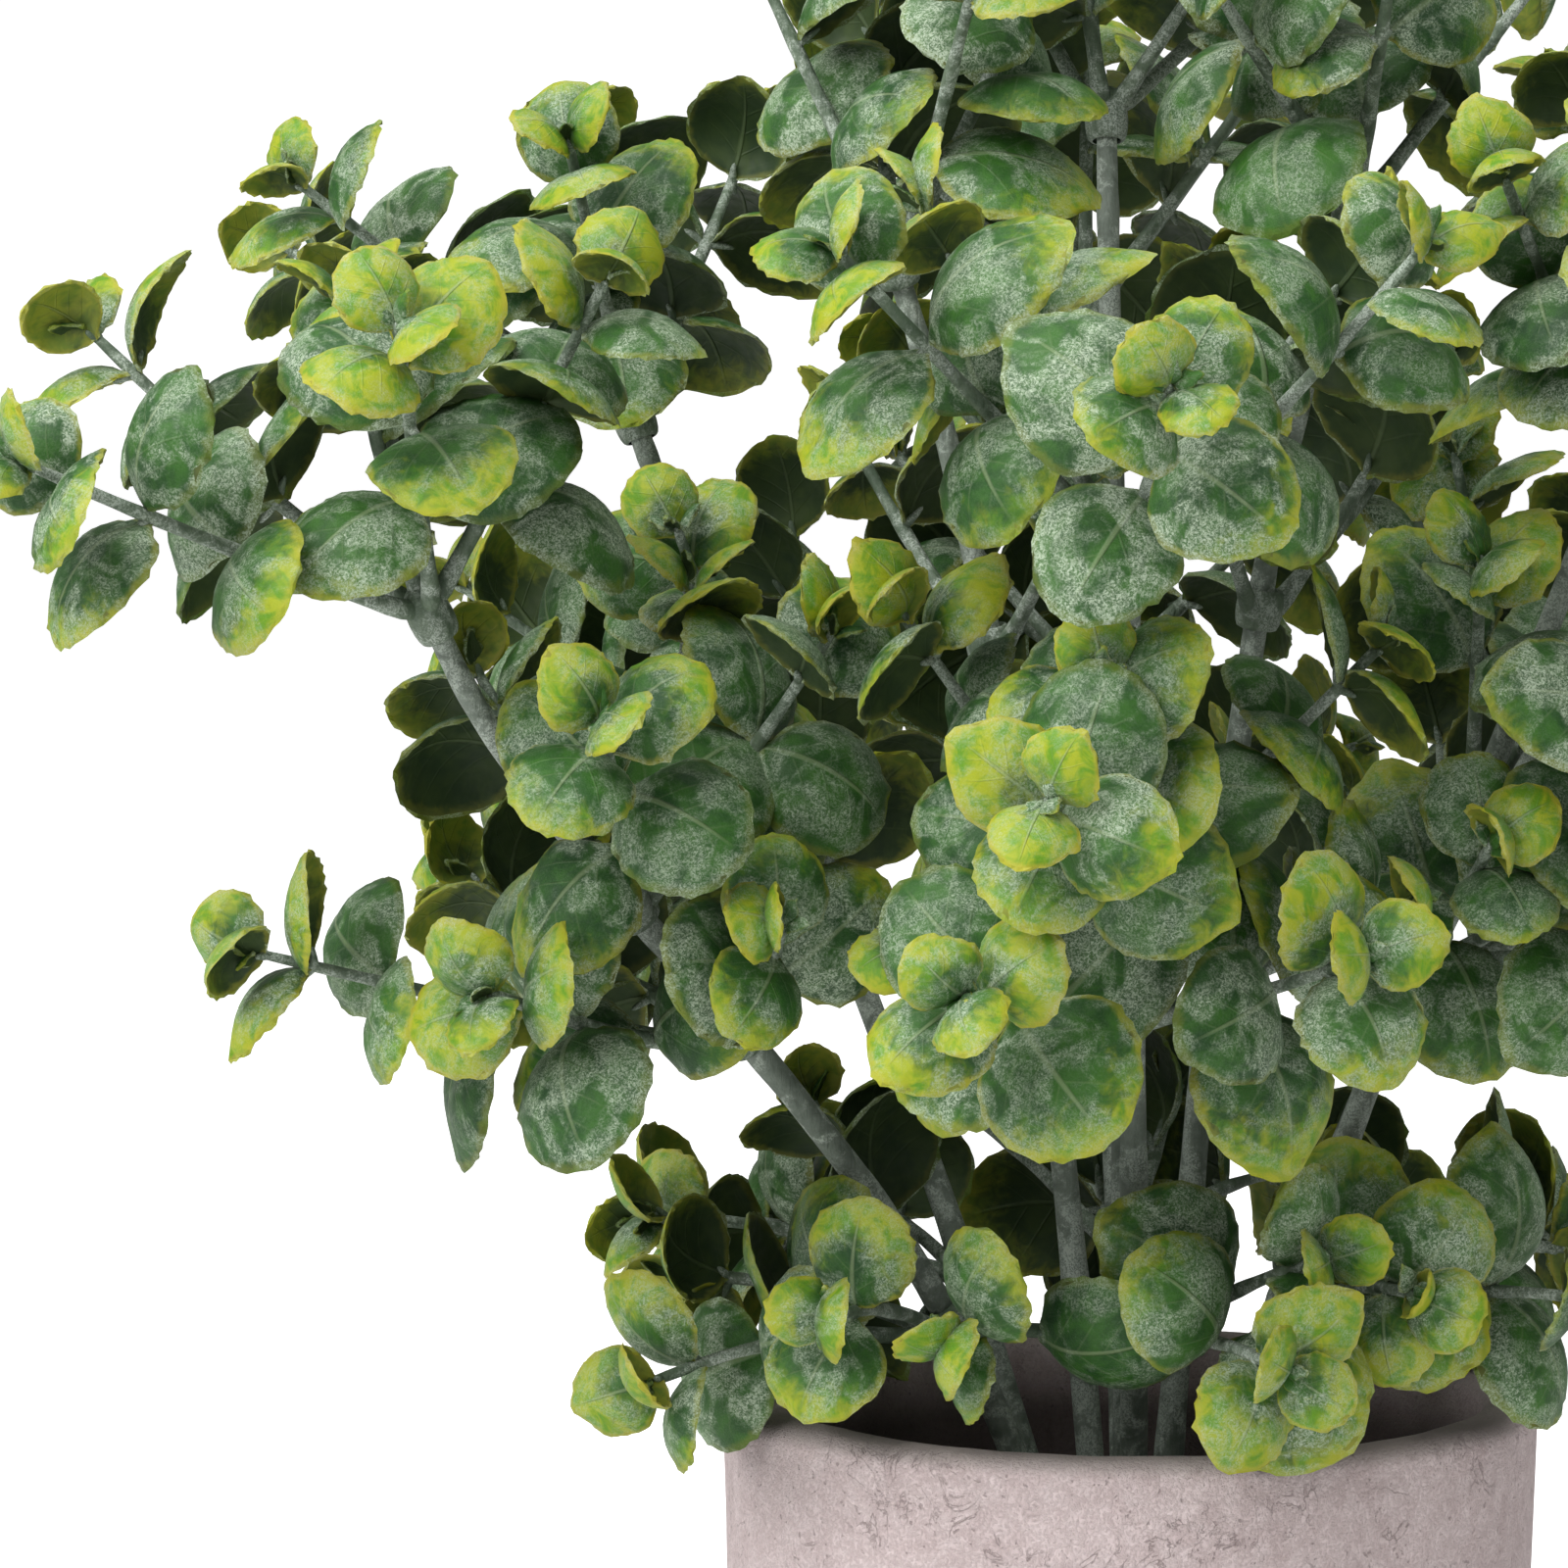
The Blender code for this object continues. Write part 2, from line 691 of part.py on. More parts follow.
def add_shoot(bm, points):
    """A shoot's three-sided rod, thin at its root so that it starts inside the sleeve's wall."""
    root = points[0]
    first = root.lerp(points[1], 0.25)
    path = [root, first] + points[1:]
    last = len(points) - 1
    radii = [0.0005] + [SHOOT_ROOT_R + (SHOOT_TIP_R - SHOOT_ROOT_R) * k / last for k in range(last + 1)]
    add_tube(bm, path, radii, 3)


def add_plain_leaf(bm, leaf):
    corners = leaf_points(leaf["matrix"], leaf["length"], leaf["width"])
    verts = [bm.verts.new(c) for c in corners]
    for face in LEAF_FACES:
        bm.faces.new([verts[k] for k in face])


def make_spray(spray, number, plastic):
    """One moulding: its sleeve with its shoots and leaves joined on. The smallest leaves are left out."""
    bm = bmesh.new()
    sleeve_shell(bm, spray)
    obj = new_object(f"spray_{spray['stem']['name']}_{number}", mesh_from("spray", bm), plastic)
    bm = bmesh.new()
    for shoot in spray["shoots"]:
        add_shoot(bm, shoot["points"])
        for leaf in shoot["leaves"]:
            if leaf["kind"] in MODELLED_KINDS:
                add_plain_leaf(bm, leaf)
    bmesh.ops.recalc_face_normals(bm, faces=bm.faces)
    combined(obj, mesh_from("shoots", bm), "UNION")
    obj.data.shade_smooth()
    obj.data.set_sharp_from_angle(angle=SHARP_EDGE)
    hang_on(obj, spray["stem"]["hinge"], spray["stem"]["pivot"])


def main():
    for obj in list(bpy.data.objects):
        bpy.data.objects.remove(obj)
    cement = material("cement", (0.53, 0.45, 0.44), 0.9)
    foam = material("plug_foam", (0.035, 0.024, 0.017), 0.95)
    hub_plastic = material("hub_plastic", (0.05, 0.09, 0.05), 0.7)
    stem_plastic = material("stem_plastic", (0.12, 0.15, 0.11), 0.75)
    leaf_plastic = material("leaf_plastic", (0.14, 0.23, 0.10), 0.7)
    steel = material("wire_steel", (0.45, 0.45, 0.46), 0.4, 1.0)

    new_object("pot", turned("pot", pot_profile(), 36), cement)
    new_object("foam_plug", turned("foam_plug", plug_profile(), 24), foam)
    stems = plan_stems()
    hub = make_hub(stems, hub_plastic)
    for stem in stems:
        stem["hinge"] = hinge_empty(stem, hub)
        make_stem(stem, stem_plastic, steel)
    numbers = {}
    for spray in plan_sprays(stems):
        name = spray["stem"]["name"]
        numbers[name] = numbers.get(name, 0) + 1
        make_spray(spray, numbers[name], leaf_plastic)


main()
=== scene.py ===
"""The look of an artificial leafy bush in a round cement pot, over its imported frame.

The bush grows by the rules its solids were grown by, so every leaf, shoot and sleeve here lies on its
solid. Metres, +Z up, the origin at the centre of the pot's underside.
"""

import math
import random

import bmesh
import bpy
from mathutils import Matrix, Vector, noise
from mathutils.bvhtree import BVHTree


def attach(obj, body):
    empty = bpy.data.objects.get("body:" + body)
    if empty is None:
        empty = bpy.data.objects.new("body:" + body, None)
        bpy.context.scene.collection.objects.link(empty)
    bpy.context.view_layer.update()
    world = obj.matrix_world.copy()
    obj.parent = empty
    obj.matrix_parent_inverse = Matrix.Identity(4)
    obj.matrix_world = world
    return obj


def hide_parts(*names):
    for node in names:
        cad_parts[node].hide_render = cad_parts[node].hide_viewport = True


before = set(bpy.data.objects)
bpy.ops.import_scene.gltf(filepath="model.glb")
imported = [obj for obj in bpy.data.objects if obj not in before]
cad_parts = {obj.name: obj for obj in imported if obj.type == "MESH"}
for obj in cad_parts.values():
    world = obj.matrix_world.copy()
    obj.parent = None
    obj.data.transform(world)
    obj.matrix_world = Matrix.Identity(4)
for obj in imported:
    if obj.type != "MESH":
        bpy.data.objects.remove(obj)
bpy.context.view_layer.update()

# ---- driving dimensions ----
POT_HEIGHT = 0.088
POT_RIM_RADIUS = 0.0475
POT_FOOT_RADIUS = 0.0452
POT_WALL = 0.0066
POT_FLOOR = 0.009
RIM_ROUND = 0.0024
FOOT_CHAMFER = 0.0012
FIT_GAP = 0.0003

HUB_TOP = 0.063
OUTER_FOOT_RADIUS = 0.0086
INNER_FOOT_RADIUS = 0.0037
STEM_FOOT_R = 0.0019
STEM_TIP_R = 0.0014
STEM_LIFT = 0.0021
STEM_POINTS = 8
STEM_SIDES = 6
OUTER_FOOT_LEAN = 17
INNER_FOOT_LEAN = 5
STEM_TIP_RISE = 68

SLEEVE_LENGTH = 0.005
SLEEVE_WALL = 0.0009
CROWN_HEIGHT = 0.0018
SHOOT_ROOT_R = 0.0011
SHOOT_TIP_R = 0.0007
SHOOT_STEPS = 3
BARE_FOOT = 0.009
LEAF_DOME = 0.10

# Length of a leaf, its distance from the shoot's tip and its lean towards the tip, from the tip down.
LEAF_PAIRS = (
    ("small", 0.0100, 0.0025, 46.0),
    ("middle", 0.0140, 0.0080, 30.0),
    ("large", 0.0178, 0.0175, 14.0),
    ("large", 0.0184, 0.0295, 4.0),
)

# ---- motion ----
OUTER_LEAN_LIMIT = 8.0
INNER_LEAN_LIMIT = 2.5
SECTOR_GAP = 0.0005
POT_CLEARANCE = 0.001
WALL_CLEARANCE = 0.0015
MOUTH_DIP = 0.007
# The cone between the inner and the outer stems, as two heights with its radius there.
INNER_CONE = ((0.085, 0.012), (0.285, 0.070))


def polar(azimuth, rise, length=1.0):
    a, e = math.radians(azimuth), math.radians(rise)
    return Vector((math.cos(a) * math.cos(e), math.sin(a) * math.cos(e), math.sin(e))) * length


# ---- the planting plan ----
# Outer stems: azimuth, tip radius, tip height, sideways sway of the tip. Inner stems likewise.
OUTER_STEMS = (
    (210, 0.094, 0.184, 0.003),
    (270, 0.060, 0.192, -0.003),
    (330, 0.060, 0.200, 0.003),
    (30, 0.078, 0.204, -0.003),
    (90, 0.066, 0.214, 0.003),
    (150, 0.070, 0.202, -0.003),
)
INNER_STEMS = (
    (210, 0.034, 0.222, 0.002),
    (330, 0.030, 0.228, -0.002),
    (90, 0.030, 0.238, 0.002),
)
# Sprays of a stem, from the foot up: the stem's segment that the sleeve sits on, then its shoots as turn
# from the stem's outward direction, rise above the horizon, length in millimetres, and curl upwards.
OUTER_SPRAYS = (
    (1, ((-42, 16, 34, -20), (0, 9, 40, -22), (42, 16, 34, -20), (-15, 42, 30, 4))),
    (3, ((-72, 14, 38, 6), (-24, 6, 58, 6), (26, 8, 46, 8), (76, 18, 38, 6), (0, 40, 38, 4))),
    (4, ((-84, 34, 40, 6), (-30, 16, 54, 6), (28, 20, 44, 8),
         (90, 40, 38, 6), (2, 46, 42, 4), (150, 50, 36, 4))),
    (6, ((-96, 54, 40, 0), (-44, 42, 50, 4), (4, 22, 50, 8),
         (50, 38, 46, 4), (100, 56, 40, 0), (180, 76, 36, 0))),
)
INNER_SPRAYS = (
    (2, ((-55, 26, 28, 12), (55, 30, 28, 12), (0, 14, 28, 18))),
    (4, ((-75, 34, 34, 8), (-5, 22, 36, 12), (70, 36, 34, 8), (-32, 50, 38, 4), (34, 52, 38, 4))),
    (6, ((-110, 50, 38, 0), (-50, 38, 42, 2), (0, 24, 42, 4),
         (50, 40, 42, 2), (110, 54, 38, 0), (180, 80, 34, 0))),
)


# ---- paths ----
def arc(centre, radius, start, stop, steps):
    """Points of an arc in the (radius, height) plane, angles in degrees."""
    angles = [math.radians(start + (stop - start) * k / steps) for k in range(steps + 1)]
    return [(centre[0] + radius * math.cos(a), centre[1] + radius * math.sin(a)) for a in angles]


def path_frames(points):
    """A (centre, across, up) triple for each point, turned from one point to the next without twisting."""
    frames = []
    across = None
    for k, point in enumerate(points):
        before = points[max(k - 1, 0)]
        after = points[min(k + 1, len(points) - 1)]
        along = (after - before).normalized()
        if across is None:
            across = along.orthogonal().normalized()
        across = (across - along * across.dot(along)).normalized()
        frames.append((point, across, along.cross(across)))
    return frames


# ---- layout: where every stem, shoot and leaf goes ----
def bezier(controls, count):
    a, b, c, d = controls
    found = []
    for k in range(count):
        t = k / (count - 1)
        s = 1 - t
        found.append(a * s**3 + b * 3 * s * s * t + c * 3 * s * t * t + d * t**3)
    return found


def stem_path(azimuth, foot_radius, lean, tip_radius, tip_height, sway):
    """A stem's pivot on the hub, its direction there, and its centreline from above the hub to its tip."""
    out = polar(azimuth, 0)
    side = Vector((-out.y, out.x, 0))
    pivot = out * foot_radius + Vector((0, 0, HUB_TOP))
    start = polar(azimuth, 90 - lean)
    foot = pivot + start * STEM_LIFT
    tip = out * tip_radius + side * sway + Vector((0, 0, tip_height))
    reach = (tip - foot).length
    end = polar(azimuth, STEM_TIP_RISE)
    low_pull, high_pull = 0.42 * reach, 0.25 * reach
    corners = (foot, foot + start * low_pull, tip - end * high_pull, tip)
    return pivot, start, bezier(corners, STEM_POINTS)


def stem_radius(k):
    return STEM_FOOT_R + (STEM_TIP_R - STEM_FOOT_R) * k / (STEM_POINTS - 1)


def shoot_path(start, heading, length, curl):
    """A shoot's centreline. It turns towards the vertical by curl degrees over its length."""
    points = [start]
    here = heading.normalized()
    axis = here.cross(Vector((0, 0, 1)))
    nearly_upright = axis.length < 0.05
    axis = Vector((1, 0, 0)) if nearly_upright else axis.normalized()
    for _ in range(SHOOT_STEPS):
        points.append(points[-1] + here * length / SHOOT_STEPS)
        here = Matrix.Rotation(math.radians(curl / SHOOT_STEPS), 3, axis) @ here
    return points


def at_distance(points, distance):
    """The point that far back from the last one along the path, and the direction there."""
    left = distance
    for after, before in zip(reversed(points), list(reversed(points))[1:]):
        step = (after - before).length
        if left <= step:
            return after + (before - after) * left / step, (after - before).normalized()
        left -= step
    return points[0], (points[1] - points[0]).normalized()


def leaf_matrix(base, along, across, lean, swing, twist):
    """Places a leaf: its length on X, its width on Y and its upper side on Z, from its base."""
    lateral = Matrix.Rotation(math.radians(swing), 3, along) @ across
    tilt = math.radians(lean)
    length = lateral * math.cos(tilt) + along * math.sin(tilt)
    face = along * math.cos(tilt) - lateral * math.sin(tilt)
    face = Matrix.Rotation(math.radians(twist), 3, length) @ face
    matrix = Matrix((length, face.cross(length), face)).transposed().to_4x4()
    matrix.translation = base
    return matrix


# A plain leaf's outline in shares of its length and its width, from its base around. Its faces follow,
# in which the sixth point is the top of its dome.
LEAF_OUTLINE = ((0.0, 0.0), (0.32, -0.49), (0.94, -0.30), (0.94, 0.30), (0.32, 0.49))
LEAF_FACES = ((0, 1, 5), (1, 2, 5), (2, 3, 5), (3, 4, 5), (4, 0, 5), (4, 3, 2, 1, 0))


def leaf_points(matrix, length, width, grow=0.0):
    """The flat outline of a leaf and the top of its dome. It may be grown a little for a clearance test."""
    long, wide = length * (1 + grow / 2), width * (1 + grow)
    outline = [Vector((x * long, y * wide, -grow * 0.002)) for x, y in LEAF_OUTLINE]
    top = Vector((0.5 * length, 0, (LEAF_DOME + grow) * width))
    return [matrix @ p for p in outline + [top]]


def tree_of(solids):
    """One search tree over (points, faces) pairs, or None if there are none."""
    points, faces = [], []
    for solid_points, solid_faces in solids:
        base = len(points)
        points += solid_points
        faces += [tuple(base + k for k in face) for face in solid_faces]
    return BVHTree.FromPolygons(points, faces) if faces else None


def tube_proxy(points, radius):
    """A square tube along the points, for the clearance test."""
    proxy, faces = [], []
    for centre, across, up in path_frames(points):
        proxy += [centre + (across * s + up * t) * radius for s, t in ((1, 0), (0, 1), (-1, 0), (0, -1))]
    for k in range(len(points) - 1):
        for s in range(4):
            j = (s + 1) % 4
            faces.append((4 * k + s, 4 * k + j, 4 * k + 4 + j, 4 * k + 4 + s))
    return proxy, faces


def cone_radius(height):
    (low, small), (high, large) = INNER_CONE
    share = (height - low) / (high - low)
    return small + (large - small) * min(max(share, 0.0), 1.0)


def inside_own_space(p, stem):
    """True if a point keeps to its stem's share of the air: a sector, outside or inside the middle cone."""
    for side in (-1, 1):
        normal = polar(stem["azimuth"] + side * (stem["sector"] / 2 - 90), 0)
        if p.dot(normal) < SECTOR_GAP:
            return False
    outside = math.hypot(p.x, p.y) - cone_radius(p.z)
    return outside > SECTOR_GAP if stem["outer"] else outside < -SECTOR_GAP


def in_pot(p):
    """True if a point is in the pot's wall or deep in its mouth, or nearly so."""
    reach = math.hypot(p.x, p.y)
    if p.z > POT_HEIGHT + POT_CLEARANCE or reach > POT_RIM_RADIUS + POT_CLEARANCE:
        return False
    return reach > POT_RIM_RADIUS - POT_WALL - WALL_CLEARANCE or p.z < POT_HEIGHT - MOUTH_DIP


def clear_of_fences(points, stem):
    """True if the points keep to their stem's space and miss the pot, however far the stem leans."""
    for lean in (0.0, stem["limit"] / 2, stem["limit"]):
        turn = Matrix.Rotation(math.radians(lean), 3, stem["axis"])
        for p in points:
            q = stem["pivot"] + turn @ (p - stem["pivot"])
            if in_pot(q):
                return False
            if q.z > POT_HEIGHT + POT_CLEARANCE and not inside_own_space(q, stem):
                return False
    return True


def with_middles(points):
    """The points of a leaf and the middles of its edges."""
    rim = points[1:5]
    return rim + points[5:] + [(a + b) / 2 for a, b in zip(rim, rim[1:] + rim[:1])]


def hits(solid, tree):
    return tree is not None and bool(tree_of([solid]).overlap(tree))


# Changes of a leaf's lean, swing, twist and size to try, in this order, until it is clear of all else.
LEAF_TRIES = tuple(
    (lean, swing, twist, scale)
    for scale in (1.0, 0.86, 0.74)
    for lean, swing, twist in (
        (0, 0, 0),
        (14, 0, 0),
        (-14, 0, 0),
        (0, 22, 0),
        (0, -22, 0),
        (0, 0, 28),
        (0, 0, -28),
        (28, 0, 0),
        (-30, 0, 0),
        (12, 30, 20),
        (12, -30, -20),
        (44, 0, 0),
        (-12, 38, 30),
        (-12, -38, -30),
    )
)


def place_leaf(stem, strangers, kin, base, along, across, kind, length, lean, rng):
    """The first way of setting a leaf that touches nothing, or None. At its base it joins its kin."""
    length *= rng.uniform(0.92, 1.08)
    width = length * rng.uniform(0.90, 1.06)
    lean += rng.uniform(-10, 10)
    swing = rng.uniform(-12, 12)
    twist = rng.uniform(-10, 10)
    tint = rng.random()
    for more_lean, more_swing, more_twist, scale in LEAF_TRIES:
        matrix = leaf_matrix(base, along, across, lean + more_lean, swing + more_swing, twist + more_twist)
        points = leaf_points(matrix, length * scale, width * scale, grow=0.06)
        if not clear_of_fences(with_middles(points), stem):
            continue
        if hits((points, LEAF_FACES), strangers):
            continue
        points[0] = points[0].lerp((points[2] + points[3]) / 2, 0.18)
        if not hits((points, LEAF_FACES), kin):
            return {
                "kind": kind,
                "matrix": matrix,
                "length": length * scale,
                "width": width * scale,
                "tint": tint,
            }
    return None


# The least sine of the angle between a stem and a shoot on its side, and the same above a stem's end.
ROOT_SPREAD = 0.5
CROWN_SPREAD = 0.35
CROWN_LIFT = 0.0008
SHOOT_CLEARANCE = 0.0016
# Leaves of one spray are tested at this share of their size, because at their bases they join.
KIN_SCALE = 0.9
# Changes of a shoot's turn and rise to try, in this order, until it is clear of all else.
SHOOT_TRIES = (
    (0, 0), (12, 0), (-12, 0), (0, 12), (0, -12), (24, 8), (-24, 8), (0, 24), (36, 14), (-36, 14),
)


def place_shoot(stem, centre, heading_axis, root_radius, shoot, strangers, kin, rng):
    """A shoot and its leaves, turned a little if something is in its way."""
    turn, rise, length, curl = shoot
    length = length * 0.001 * rng.uniform(0.94, 1.06)
    turn += rng.uniform(-7, 7)
    rise += rng.uniform(-6, 6)
    curl += rng.uniform(-5, 5)
    roll = rng.uniform(0, 180)
    for more_turn, more_rise in SHOOT_TRIES:
        heading = polar(stem["azimuth"] + turn + more_turn, rise + more_rise)
        sideways = heading - heading_axis * heading.dot(heading_axis)
        if stem["crowned"] and sideways.length < CROWN_SPREAD:
            start = centre + heading_axis * CROWN_LIFT
        elif stem["crowned"] or sideways.length > ROOT_SPREAD:
            start = centre + sideways.normalized() * root_radius
        else:
            continue
        points = shoot_path(start, heading, length, curl)
        whole = tube_proxy(points, SHOOT_CLEARANCE)
        outer_part = tube_proxy(points[1:], SHOOT_CLEARANCE)
        clear = clear_of_fences(whole[0], stem) and not hits(whole, strangers)
        if clear and not hits(outer_part, tree_of(kin)):
            break
    else:
        return None
    leaves = []
    for order, (kind, leaf_length, from_tip, lean) in enumerate(LEAF_PAIRS):
        if from_tip > length - BARE_FOOT:
            continue
        base, along = at_distance(points, from_tip)
        across = along.orthogonal().normalized()
        across = Matrix.Rotation(math.radians(roll + 90 * order), 3, along) @ across
        for side in (across, -across):
            near = tree_of(kin + [leaf_solid(f, KIN_SCALE) for f in leaves])
            leaf = place_leaf(stem, strangers, near, base, along, side, kind, leaf_length, lean, rng)
            if leaf:
                leaves.append(leaf)
    return {"points": points, "leaves": leaves}


def plan_stems():
    stems = []
    rows = [(f"outer_{i + 1}", True, *row) for i, row in enumerate(OUTER_STEMS)]
    rows += [(f"inner_{i + 1}", False, *row) for i, row in enumerate(INNER_STEMS)]
    for name, outer, azimuth, tip_radius, tip_height, sway in rows:
        foot_radius = OUTER_FOOT_RADIUS if outer else INNER_FOOT_RADIUS
        lean = OUTER_FOOT_LEAN if outer else INNER_FOOT_LEAN
        pivot, start, path = stem_path(azimuth, foot_radius, lean, tip_radius, tip_height, sway)
        stems.append(
            {
                "name": name,
                "outer": outer,
                "azimuth": azimuth,
                "pivot": pivot,
                "start": start,
                "axis": polar(azimuth + 90, 0),
                "path": path,
                "sector": 360 / (len(OUTER_STEMS) if outer else len(INNER_STEMS)),
                "limit": OUTER_LEAN_LIMIT if outer else INNER_LEAN_LIMIT,
                "crowned": False,
            }
        )
    return stems


def leaf_solid(leaf, scale=1.0):
    return leaf_points(leaf["matrix"], leaf["length"] * scale, leaf["width"] * scale), LEAF_FACES


def plan_sleeves(stems):
    """Every spray's place on its stem, level by level, before any shoot is grown."""
    sprays = []
    for level in range(len(OUTER_SPRAYS)):
        for stem in stems:
            rows = OUTER_SPRAYS if stem["outer"] else INNER_SPRAYS
            if level >= len(rows):
                continue
            segment, shoots = rows[level]
            top = segment == STEM_POINTS - 2
            low, high = stem["path"][segment], stem["path"][segment + 1]
            axis = (high - low).normalized()
            # The sleeve's inner flats clear the stem's corners by the fit gap.
            bore = (stem_radius(segment) + FIT_GAP) / math.cos(math.pi / STEM_SIDES)
            centre = high if top else (low + high) / 2
            sprays.append(
                {
                    "stem": stem,
                    "top": top,
                    "centre": centre,
                    "axis": axis,
                    "bore": bore,
                    "rows": shoots,
                    "shoots": [],
                }
            )
    return sprays


def sleeve_proxy(spray):
    centre, axis = spray["centre"], spray["axis"]
    low = centre - axis * (SLEEVE_LENGTH if spray["top"] else SLEEVE_LENGTH / 2)
    high = centre + axis * (CROWN_HEIGHT + 0.0002 if spray["top"] else SLEEVE_LENGTH / 2)
    return tube_proxy([low, high], (spray["bore"] + SLEEVE_WALL) * 1.3)


def shoot_solids(shoots, scale=1.0):
    solids = [tube_proxy(shoot["points"], SHOOT_ROOT_R * 1.2) for shoot in shoots]
    return solids + [leaf_solid(leaf, scale) for shoot in shoots for leaf in shoot["leaves"]]


def plan_sprays(stems):
    """Every spray with its shoots and leaves, each clear of all that came before it."""
    rng = random.Random(31)
    sprays = plan_sleeves(stems)
    grown = []
    for spray in sprays:
        stem = spray["stem"]
        stem["crowned"] = spray["top"]
        strangers = [tube_proxy(s["path"], STEM_FOOT_R + FIT_GAP) for s in stems if s is not stem]
        strangers += [sleeve_proxy(s) for s in sprays if s is not spray]
        before = tree_of(strangers + grown)
        own_stem = tube_proxy(stem["path"], STEM_FOOT_R + FIT_GAP)
        for row in spray["rows"]:
            kin = [own_stem] + shoot_solids(spray["shoots"], KIN_SCALE)
            root = spray["bore"] + 0.0005
            made = place_shoot(stem, spray["centre"], spray["axis"], root, row, before, kin, rng)
            if made:
                spray["shoots"].append(made)
        grown += shoot_solids(spray["shoots"])
    return sprays


# ---- fine shape ----
TWIG_SIDES = 7
STEM_RING_SIDES = 10
STEM_SPAN_STEPS = 7
TWIG_SPAN_STEPS = 4
LEAF_CELLS = 6
SMALL_CELLS = 5
BRACT_CELLS = 3
LEAF_SKIN = 0.00045
WAVY_EDGE = 0.045
RAGGED_EDGE = 0.0011
RAGGED_GRAIN = 0.0009
RAGGED_FROM = 0.8
BRACT_LENGTH = 0.0046
BRACT_WIDTH = 0.62
# Turn about the shoot and lean towards its tip of each bract.
TIP_BRACTS = ((0, 44), (180, 44), (430, 70))
ROOT_DEPTH = 0.0014
PETIOLE_R = 0.00062
PETIOLE_SIDES = 6
NODE_SWELL = 0.32
NODE_SPREAD = 0.0016
STEM_RIB = 0.00012
STEM_GRAIN = 900
COLLAR_STEPS = 12
POT_STEPS = 144
POT_BANDS = 12
POT_UNEVEN = 0.00016
POT_GRAIN = 60

# Slots of a spray's materials.
LEAF_UPPER, LEAF_UNDER, TWIG = 0, 1, 2

UPPER_TINTS = {
    "dark": (0.011, 0.054, 0.012),
    "middle": (0.043, 0.150, 0.015),
    "lime": (0.115, 0.275, 0.008),
    "yellow": (0.330, 0.385, 0.014),
    "rim": (0.410, 0.380, 0.030),
    "vein": (0.30, 0.38, 0.20),
}
UNDER_TINTS = {
    "dark": (0.022, 0.046, 0.016),
    "middle": (0.056, 0.090, 0.024),
    "lime": (0.150, 0.220, 0.025),
    "yellow": (0.260, 0.290, 0.030),
    "rim": (0.300, 0.290, 0.040),
    "vein": (0.20, 0.27, 0.13),
}
CEMENT_TINTS = {
    "dark": (0.56, 0.450, 0.445),
    "light": (0.70, 0.578, 0.573),
    "blotch": (0.79, 0.682, 0.676),
    "grit": (0.36, 0.275, 0.265),
    "crack": (0.22, 0.15, 0.14),
    "pit": (0.27, 0.20, 0.19),
    "rim": (0.37, 0.325, 0.305),
    # Painted shade for the depth of the pot below its lip.
    "inside": (0.055, 0.040, 0.034),
}
FROST = (0.47, 0.56, 0.42)
STEM_FROST = (0.48, 0.54, 0.47)

# Lime share of a leaf by its kind: the least and the most.
LIME_BY_KIND = {"small": (0.55, 0.95), "middle": (0.2, 0.85), "large": (0.0, 0.5), "bract": (0.0, 0.3)}


# ---- fine shapes: rods, leaves, collars ----
def unique(items):
    """The items in the order they came in, each once."""
    return list(dict.fromkeys(items))


def finish_faces(faces, slot):
    for face in faces:
        face.material_index = slot
        face.smooth = True


def mesh_from(name, bm):
    mesh = bpy.data.meshes.new(name)
    bm.to_mesh(mesh)
    bm.free()
    return mesh


def turn_profile(bm, profile, steps, merge):
    """Turns a profile of (radius, height) points about Z. Gives the faces made."""
    old = set(bm.faces)
    verts = [bm.verts.new((r, 0, z)) for r, z in profile]
    edges = [bm.edges.new(pair) for pair in zip(verts, verts[1:])]
    bmesh.ops.spin(
        bm, geom=verts + edges, cent=(0, 0, 0), axis=(0, 0, 1), angle=math.tau, steps=steps, use_merge=True
    )
    made = [f for f in bm.faces if f not in old]
    bmesh.ops.remove_doubles(bm, verts=unique(v for f in made for v in f.verts), dist=merge)
    made = [f for f in bm.faces if f not in old]
    bmesh.ops.recalc_face_normals(bm, faces=made)
    return made


def smooth_line(points, steps):
    """A finer path on a smooth curve through the given points."""
    ends = [points[0] * 2 - points[1]] + list(points) + [points[-1] * 2 - points[-2]]
    found = []
    for a, b, c, d in zip(ends, ends[1:], ends[2:], ends[3:]):
        for k in range(steps):
            t = k / steps
            bend = (c - a) * t + (a * 2 - b * 5 + c * 4 - d) * t * t + (b * 3 - a - c * 3 + d) * t**3
            found.append(b + bend / 2)
    return found + [points[-1].copy()]


def frame_matrix(place):
    centre, across, up = place
    matrix = Matrix((across, up, across.cross(up))).transposed().to_4x4()
    matrix.translation = centre
    return matrix


def add_rod(bm, points, radii, sides, slot):
    """A closed round rod along the points."""
    old = set(bm.faces)
    before = None
    for place, radius in zip(path_frames(points), radii):
        made = bmesh.ops.create_circle(
            bm, segments=sides, radius=radius, cap_ends=before is None, matrix=frame_matrix(place)
        )
        edges = unique(e for v in made["verts"] for e in v.link_edges)
        if before:
            bmesh.ops.bridge_loops(bm, edges=before + edges)
        before = edges
    bmesh.ops.edgeloop_fill(bm, edges=before)
    made = [f for f in bm.faces if f not in old]
    bmesh.ops.recalc_face_normals(bm, faces=made)
    finish_faces(made, slot)


def leaf_rim(angle, phase):
    """How far a leaf's edge stands in or out in a direction. Zero is the tip."""
    broad = noise.noise(Vector((math.cos(angle) * 2.2, math.sin(angle) * 2.2, phase)))
    fine = noise.noise(Vector((math.cos(angle) * 9, math.sin(angle) * 9, phase + 9)))
    return WAVY_EDGE * (broad + fine)


